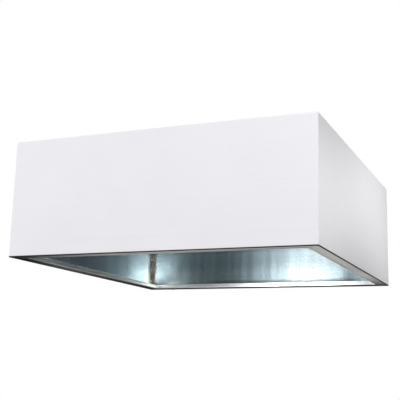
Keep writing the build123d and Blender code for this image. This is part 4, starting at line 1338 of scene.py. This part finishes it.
@dataclass
class Canopy(SubAssembly):
    """The four walls, the roof and what joins them. All sizes are in millimetres."""

    half: float = 600.0
    sheet: float = 1.0
    height: float = 450.0
    rivet_inset: float = 14.0
    rivet_reach: float = 540.0
    rivets: int = 11
    weld_inset: float = 13.0
    weld_low: float = 45.0
    weld_top: float = 425.0
    welds: int = 8
    weld_radius: float = 3.0
    weld_height: float = 0.22
    weld_seed: int = 9
    label = "canopy"
    nodes = ("front_panel", "rear_panel", "left_panel", "right_panel", "roof_panel")

    def roof_seats(self) -> List[Seat]:
        """Places the rivets along the four edges of the roof.

        Returns:
            Their seats.
        """
        edge = self.half - self.rivet_inset
        places = along(-self.rivet_reach, self.rivet_reach, self.rivets)
        pairs = [(step, side * edge) for side, step in product(SIDES, places)]
        pairs += [(side * edge, step) for side, step in product(SIDES, places)]
        return [Seat((x, y, self.height)) for x, y in pairs]

    def weld_seats(self) -> List[Seat]:
        """Places the spot welds down the side returns of the front and rear walls.

        Returns:
            Their seats, on the faces seen from inside.
        """
        face = self.half - 2 * self.sheet
        depth = self.half - self.weld_inset
        rows = along(self.weld_low, self.weld_top, self.welds)
        return [
            Seat((side * face, end * depth, z), (-side, 0.0, 0.0))
            for side, end, z in product(SIDES, SIDES, rows)
        ]

    def make(self, shop: Workshop) -> None:
        """Makes the roof's rivets and the weld marks.

        Args:
            shop: The workshop.
        """
        shop.rivet("roof_rivets", self.roof_seats(), RivetSizes(2 * self.sheet))
        values = {
            "Radius": self.weld_radius * MM,
            "Height": self.weld_height * MM,
            "Seed": self.weld_seed,
            "Material": shop.finishes["weld_mark"],
        }
        marks = SpotWelds().run("return_spot_welds", seat_mesh(self.weld_seats()), values)
        shop.fit(marks, "canopy")


@dataclass
class Gutters(SubAssembly):
    """The four gutter channels and their sealant. All sizes are in millimetres."""

    wall: float = 599.0
    leg_top: float = 24.0
    reach: float = 595.0
    bead: float = 1.15
    bead_from_wall: float = 0.55
    bead_over_leg: float = 0.75
    bead_uneven: float = 0.7
    bead_step: float = 5.0
    bead_seed: float = 4.0
    label = "gutters"
    nodes = ("gutter_front", "gutter_rear", "gutter_left", "gutter_right", "gutter_corner_seals")

    def bead_runs(self) -> List[Tuple[Point, Point]]:
        """Lays the bead's line along each wall, on top of the channel's outer leg.

        Returns:
            The lines' ends.
        """
        off = self.wall - self.bead_from_wall
        z = self.leg_top + self.bead_over_leg
        found = []
        for side in SIDES:
            found.append(((-self.reach, side * off, z), (self.reach, side * off, z)))
            found.append(((side * off, -self.reach, z), (side * off, self.reach, z)))
        return found

    def make(self, shop: Workshop) -> None:
        """Makes the beads between the gutters and the walls.

        Args:
            shop: The workshop.
        """
        values = {
            "Radius": self.bead * MM,
            "Uneven": self.bead_uneven * MM,
            "Step": self.bead_step * MM,
            "Seed": self.bead_seed,
            "Material": shop.finishes["sealant"],
        }
        beads = SealantBead().run("gutter_wall_beads", run_mesh(self.bead_runs()), values)
        shop.fit(beads, "canopy", ("gutter_wall_seals",))


@dataclass
class RoofStiffeners(SubAssembly):
    """The two hat-section stiffeners across the roof. All sizes are in millimetres."""

    centre: float = 330.0
    flange: float = 27.0
    reach: float = 450.0
    rows: int = 7
    top: float = 451.0
    rivet: RivetSizes = RivetSizes(2.0)
    label = "roof stiffeners"
    nodes = ("roof_stiffener_left", "roof_stiffener_right")

    def make(self, shop: Workshop) -> None:
        """Makes the rivets through the flanges.

        Args:
            shop: The workshop.
        """
        lines = [side * self.centre + edge * self.flange for side, edge in product(SIDES, SIDES)]
        steps = along(-self.reach, self.reach, self.rows)
        seats = [Seat((x, y, self.top)) for x, y in product(lines, steps)]
        shop.rivet("stiffener_rivets", seats, self.rivet)


@dataclass
class Hangers(SubAssembly):
    """The four hanging brackets with their bolts and plates. All sizes are in millimetres."""

    bolt_x: float = 519.0
    bolt_y: Tuple[float, float] = (517.0, 543.0)
    nut_under: float = 439.4
    tip: ThreadSizes = ThreadSizes(2.92, 2.7, 0.9)
    label = "hangers"
    nodes = (
        *(f"hanger_{corner}" for corner in CORNERS),
        *(f"backing_plate_{corner}" for corner in CORNERS),
        "hanger_bolts",
        "hanger_washers",
        "hanger_nuts",
    )

    def make(self, shop: Workshop) -> None:
        """Makes the threads on the bolts' tips under the nuts.

        Args:
            shop: The workshop.
        """
        seats = [
            Seat((side * self.bolt_x, end * y, self.nut_under), DOWN)
            for side, end, y in product(SIDES, SIDES, self.bolt_y)
        ]
        shop.thread("hanger_bolt_threads", seats, self.tip, "fastener_steel")


@dataclass
class DuctSpigot(SubAssembly):
    """The round spigot, its gasket and rivets, and the quadrant. All sizes are in millimetres."""

    flange_circle: float = 118.0
    flange_top: float = 454.0
    rivets: int = 8
    rivet: RivetSizes = RivetSizes(5.0)
    tube_inside: float = 99.5
    quadrant_reach: float = 101.6
    quadrant_rivet_y: float = 37.0
    quadrant_rivet: RivetSizes = RivetSizes(3.2, tail=0.9)
    axis_z: float = 495.0
    label = "duct spigot"
    nodes = (
        "duct_spigot",
        "spigot_gasket",
        "damper_quadrant",
        "damper_bush_left",
        "damper_bush_right",
    )

    def make(self, shop: Workshop) -> None:
        """Makes the flange's and the quadrant's rivets.

        Args:
            shop: The workshop.
        """
        turns = [2 * math.pi * (number + 0.5) / self.rivets for number in range(self.rivets)]
        round_spigot = [self.around(self.flange_circle, turn, self.flange_top) for turn in turns]
        shop.rivet("spigot_rivets", [Seat(place) for place in round_spigot], self.rivet)
        half = math.asin(self.quadrant_rivet_y / self.tube_inside)
        seats = []
        for turn in (-half, half):
            place = self.around(self.quadrant_reach, turn, self.axis_z)
            seats.append(Seat(place, self.around(1.0, turn, 0.0)))
        shop.rivet("quadrant_rivets", seats, self.quadrant_rivet)

    @staticmethod
    def around(radius: float, turn: float, z: float) -> Point:
        """A point on a circle about the spigot's axis."""
        return (radius * math.cos(turn), radius * math.sin(turn), z)


@dataclass
class Damper(SubAssembly):
    """The butterfly blade on its spindle, and its handle. All sizes are in millimetres."""

    saddle_x: float = 55.0
    saddle_y: float = 11.5
    saddle_z: float = 491.5
    saddle_rivet: RivetSizes = RivetSizes(3.0, scale=0.75)
    axis_z: float = 495.0
    stud_start: float = 121.9
    stud: ThreadSizes = ThreadSizes(3.9, 2.7, 1.0)
    label = "damper"
    nodes = (
        "damper_blade",
        "damper_spindle",
        "damper_saddle_left",
        "damper_saddle_right",
        "damper_spindle_clip",
        "damper_handle",
        "damper_handle_nut",
        "damper_lock_bolt",
        "damper_wing_nut",
    )

    def make(self, shop: Workshop) -> None:
        """Makes the saddles' rivets and the stud's thread.

        Args:
            shop: The workshop.
        """
        seats = [
            Seat((side * self.saddle_x, end * self.saddle_y, self.saddle_z))
            for side, end in product(SIDES, SIDES)
        ]
        shop.rivet("damper_saddle_rivets", seats, self.saddle_rivet, "damper")
        stud = Seat((self.stud_start, 0.0, self.axis_z), TO_RIGHT)
        shop.thread("damper_stud_thread", [stud], self.stud, "damper_steel", "damper")


@dataclass
class Drain(SubAssembly):
    """The outlet through the rear wall, with its ball valve. All sizes are in millimetres."""

    x: float = -500.0
    z: float = 13.0
    shank_start: float = 606.1
    shank: ThreadSizes = ThreadSizes(6.42, 1.8, 1.3)
    socket_start: float = 640.4
    socket: ThreadSizes = ThreadSizes(5.6, 9.0, 1.3)
    label = "drain"
    nodes = (
        "drain_bulkhead",
        "drain_gasket",
        "drain_washer",
        "drain_locknut",
        "valve_body",
        "valve_end",
        "valve_ball",
        "valve_seats",
        "valve_stem",
        "valve_packing_nut",
        "valve_lever",
        "valve_lever_grip",
        "valve_lever_nut",
    )

    def make(self, shop: Workshop) -> None:
        """Makes the thread of the shank and the one in the outlet's socket.

        Args:
            shop: The workshop.
        """
        shank = Seat((self.x, self.shank_start, self.z), TO_REAR)
        shop.thread("drain_shank_thread", [shank], self.shank, "plated_brass")
        socket = Seat((self.x, self.socket_start, self.z), TO_REAR)
        shop.thread("drain_socket_thread", [socket], self.socket, "plated_brass")


@dataclass(frozen=True)
class CameraPlace:
    """The photograph's viewpoint, from below and to the right of the front."""

    place: Point = (1.2667, -3.0657, -0.4042)
    azimuth: float = 23.72
    elevation: float = 12.11
    roll: float = 1.59
    focal_px: float = 802.3
    frame_px: float = 400.0
    sensor: float = 36.0
    sight: float = 100.0

    def build(self) -> None:
        """Makes the camera and gives it to the scene."""
        a, e, r = (math.radians(angle) for angle in (self.azimuth, self.elevation, self.roll))
        ahead = Vector((-math.sin(a) * math.cos(e), math.cos(a) * math.cos(e), math.sin(e)))
        level = Vector((math.cos(a), math.sin(a), 0.0))
        upright = level.cross(ahead)
        right = level * math.cos(r) + upright * math.sin(r)
        top = upright * math.cos(r) - level * math.sin(r)
        data = bpy.data.cameras.new("camera")
        data.sensor_width = self.sensor
        data.lens = self.focal_px * self.sensor / self.frame_px
        data.clip_end = self.sight
        camera = bpy.data.objects.new("camera", data)
        bpy.context.scene.collection.objects.link(camera)
        turn = Matrix((right, top, -ahead)).transposed().to_4x4()
        camera.matrix_world = Matrix.Translation(self.place) @ turn
        bpy.context.scene.camera = camera


@dataclass(frozen=True)
class Lamp:
    """One soft rectangular lamp, aimed at a point. Sizes are in metres, its power in watts."""

    name: str
    place: Point
    aim: Point
    width: float
    height: float
    power: float

    def build(self) -> None:
        """Makes the lamp. The camera doesn't see it."""
        data = bpy.data.lights.new(self.name, "AREA")
        data.shape = "RECTANGLE"
        data.size = self.width
        data.size_y = self.height
        data.energy = self.power
        lamp = bpy.data.objects.new(self.name, data)
        bpy.context.scene.collection.objects.link(lamp)
        direction = Vector(self.aim) - Vector(self.place)
        turn = direction.to_track_quat("-Z", "Y").to_matrix().to_4x4()
        lamp.matrix_world = Matrix.Translation(self.place) @ turn
        lamp.visible_camera = False


@dataclass(frozen=True)
class Flag:
    """A soft dark patch of the surroundings, which only reflections show. Angles in degrees."""

    azimuth: float
    elevation: float
    core: float
    reach: float
    level: float

    @property
    def towards(self) -> Point:
        """Direction of its middle. Azimuth is from +X towards +Y."""
        a, e = math.radians(self.azimuth), math.radians(self.elevation)
        return (math.cos(a) * math.cos(e), math.sin(a) * math.cos(e), math.sin(e))

    @property
    def edge(self) -> Span:
        """Cosines of the angles at which it ends and at which it is full."""
        return (math.cos(math.radians(self.reach)), math.cos(math.radians(self.core)))


@dataclass(frozen=True)
class Studio:
    """The floor, the white surroundings with their flags, the soft lamps and the camera."""

    floor_z: float = -2.03
    floor_y: float = -4.0
    floor_half: float = 10.0
    floor_cells: int = 8
    floor_colour: Colour = (0.20, 0.235, 0.25)
    floor_glow: Colour = (1.0, 0.97, 0.955)
    floor_lift: float = 0.83
    floor_edge: Span = (7.5, 5.0)
    sky: Colour = (1.0, 1.0, 1.0)
    soft_level: float = 0.70
    camera: CameraPlace = CameraPlace()
    lamps: Tuple[Lamp, ...] = (
        Lamp("lamp_under", (-0.045, -0.45, -0.19), (0.0, 0.6, 0.08), 0.3, 0.2, 9.5),
        Lamp("lamp_under_mid", (-0.225, -0.45, -0.19), (0.0, 0.6, 0.08), 0.22, 0.2, 2.8),
        Lamp("lamp_under_left", (-0.345, -0.45, -0.19), (-0.1, 0.6, 0.08), 0.28, 0.2, 0.9),
        Lamp("lamp_above", (0.6, -1.6, 3.2), (0.0, 0.0, 0.3), 2.6, 2.6, 8.0),
    )
    flags: Tuple[Flag, ...] = (
        Flag(azimuth=78.0, elevation=37.0, core=10.0, reach=24.0, level=0.10),
        Flag(azimuth=76.0, elevation=-17.0, core=19.0, reach=27.0, level=0.20),
        Flag(azimuth=128.0, elevation=-7.0, core=16.0, reach=34.0, level=0.06),
    )

    def world(self) -> None:
        """White for the camera, white with the flags in reflections, and soft light elsewhere."""
        world = bpy.data.worlds.new("studio")
        world.use_nodes = True
        bpy.context.scene.world = world
        desk = NodeDesk(world.node_tree)
        desk.tree.nodes.clear()
        path = desk.node("ShaderNodeLightPath").outputs
        seen = desk.math("MAXIMUM", path["Is Camera Ray"], path["Is Glossy Ray"])
        seen = desk.math("MAXIMUM", seen, path["Is Transmission Ray"])
        way = desk.node("ShaderNodeTexCoord").outputs["Generated"]
        white: Value = 1.0
        for flag in self.flags:
            facing = desk.measure("DOT_PRODUCT", way, flag.towards)
            white = desk.times(white, desk.spread(facing, flag.edge, (1.0, flag.level)))
        shown = desk.between(path["Is Glossy Ray"], 1.0, white)
        strength = desk.between(seen, self.soft_level, shown)
        light = desk.node("ShaderNodeBackground", {"Color": self.sky, "Strength": strength})
        desk.node("ShaderNodeOutputWorld", {"Surface": light.outputs[0]})

    def floor_paint(self) -> bpy.types.Material:
        """Makes the floor's paint, which shows white and takes the hood's shadow.

        Returns:
            The material, clear from underneath. Far off it shows in no reflection.
        """
        material = bpy.data.materials.new("pale_floor")
        material.use_nodes = True
        desk = NodeDesk(material.node_tree)
        desk.tree.nodes.clear()
        paint = desk.node("ShaderNodeBsdfDiffuse", {"Color": self.floor_colour})
        path = desk.node("ShaderNodeLightPath").outputs
        place = desk.node("ShaderNodeTexCoord").outputs["Object"]
        distance = desk.measure("LENGTH", desk.vector("MULTIPLY", place, LEVEL_PART))
        mirrored = desk.times(path["Is Glossy Ray"], desk.spread(distance, self.floor_edge))
        seen = desk.math("MAXIMUM", path["Is Camera Ray"], path["Is Transmission Ray"])
        seen = desk.times(desk.math("MAXIMUM", seen, mirrored), self.floor_lift)
        white = desk.node("ShaderNodeEmission", {"Color": self.floor_glow, "Strength": seen})
        lit = desk.node("ShaderNodeAddShader", {0: paint.outputs[0], 1: white.outputs[0]})
        clear = desk.node("ShaderNodeBsdfTransparent")
        below = desk.node("ShaderNodeNewGeometry").outputs["Backfacing"]
        inputs = {0: below, 1: lit.outputs[0], 2: clear.outputs[0]}
        mixed = desk.node("ShaderNodeMixShader", inputs)
        desk.node("ShaderNodeOutputMaterial", {"Surface": mixed.outputs[0]})
        return material

    def floor(self) -> None:
        """Lays the floor under the hanging hood."""
        mesh = bpy.data.meshes.new("floor")
        shape = bmesh.new()
        cells = {"x_segments": self.floor_cells, "y_segments": self.floor_cells}
        bmesh.ops.create_grid(shape, size=self.floor_half, **cells)
        bmesh.ops.translate(shape, verts=shape.verts, vec=(0.0, self.floor_y, self.floor_z))
        shape.to_mesh(mesh)
        shape.free()
        mesh.materials.append(self.floor_paint())
        floor = bpy.data.objects.new("floor", mesh)
        bpy.context.scene.collection.objects.link(floor)

    def build(self) -> None:
        """Makes the studio and the camera."""
        self.camera.build()
        self.world()
        self.floor()
        for lamp in self.lamps:
            lamp.build()
        bpy.context.scene.view_settings.view_transform = "Standard"
        log.info("studio: %d lamps", len(self.lamps))


def slot_of(name: str) -> str:
    """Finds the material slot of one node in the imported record.

    Args:
        name: The node's name.

    Returns:
        The slot's name.
    """
    for part in frame["record"]["subparts"]:
        if part["node"] == name:
            return part["material_slot"]
    raise KeyError(name)


def main() -> None:
    """Builds the pieces in order."""
    logging.basicConfig(level=logging.INFO, format="%(name)s: %(message)s")
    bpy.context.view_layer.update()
    Studio().build()
    shop = Workshop({finish.slot: finish.material() for finish in all_finishes()})
    for part in (Canopy(), Gutters(), RoofStiffeners(), Hangers(), DuctSpigot(), Damper(), Drain()):
        part.build(shop)
    left = sorted(set(frame["nodes"]) - set(shop.dressed))
    log.info("nodes left bare: %s", left or "none")


if __name__ == "__main__":
    main()
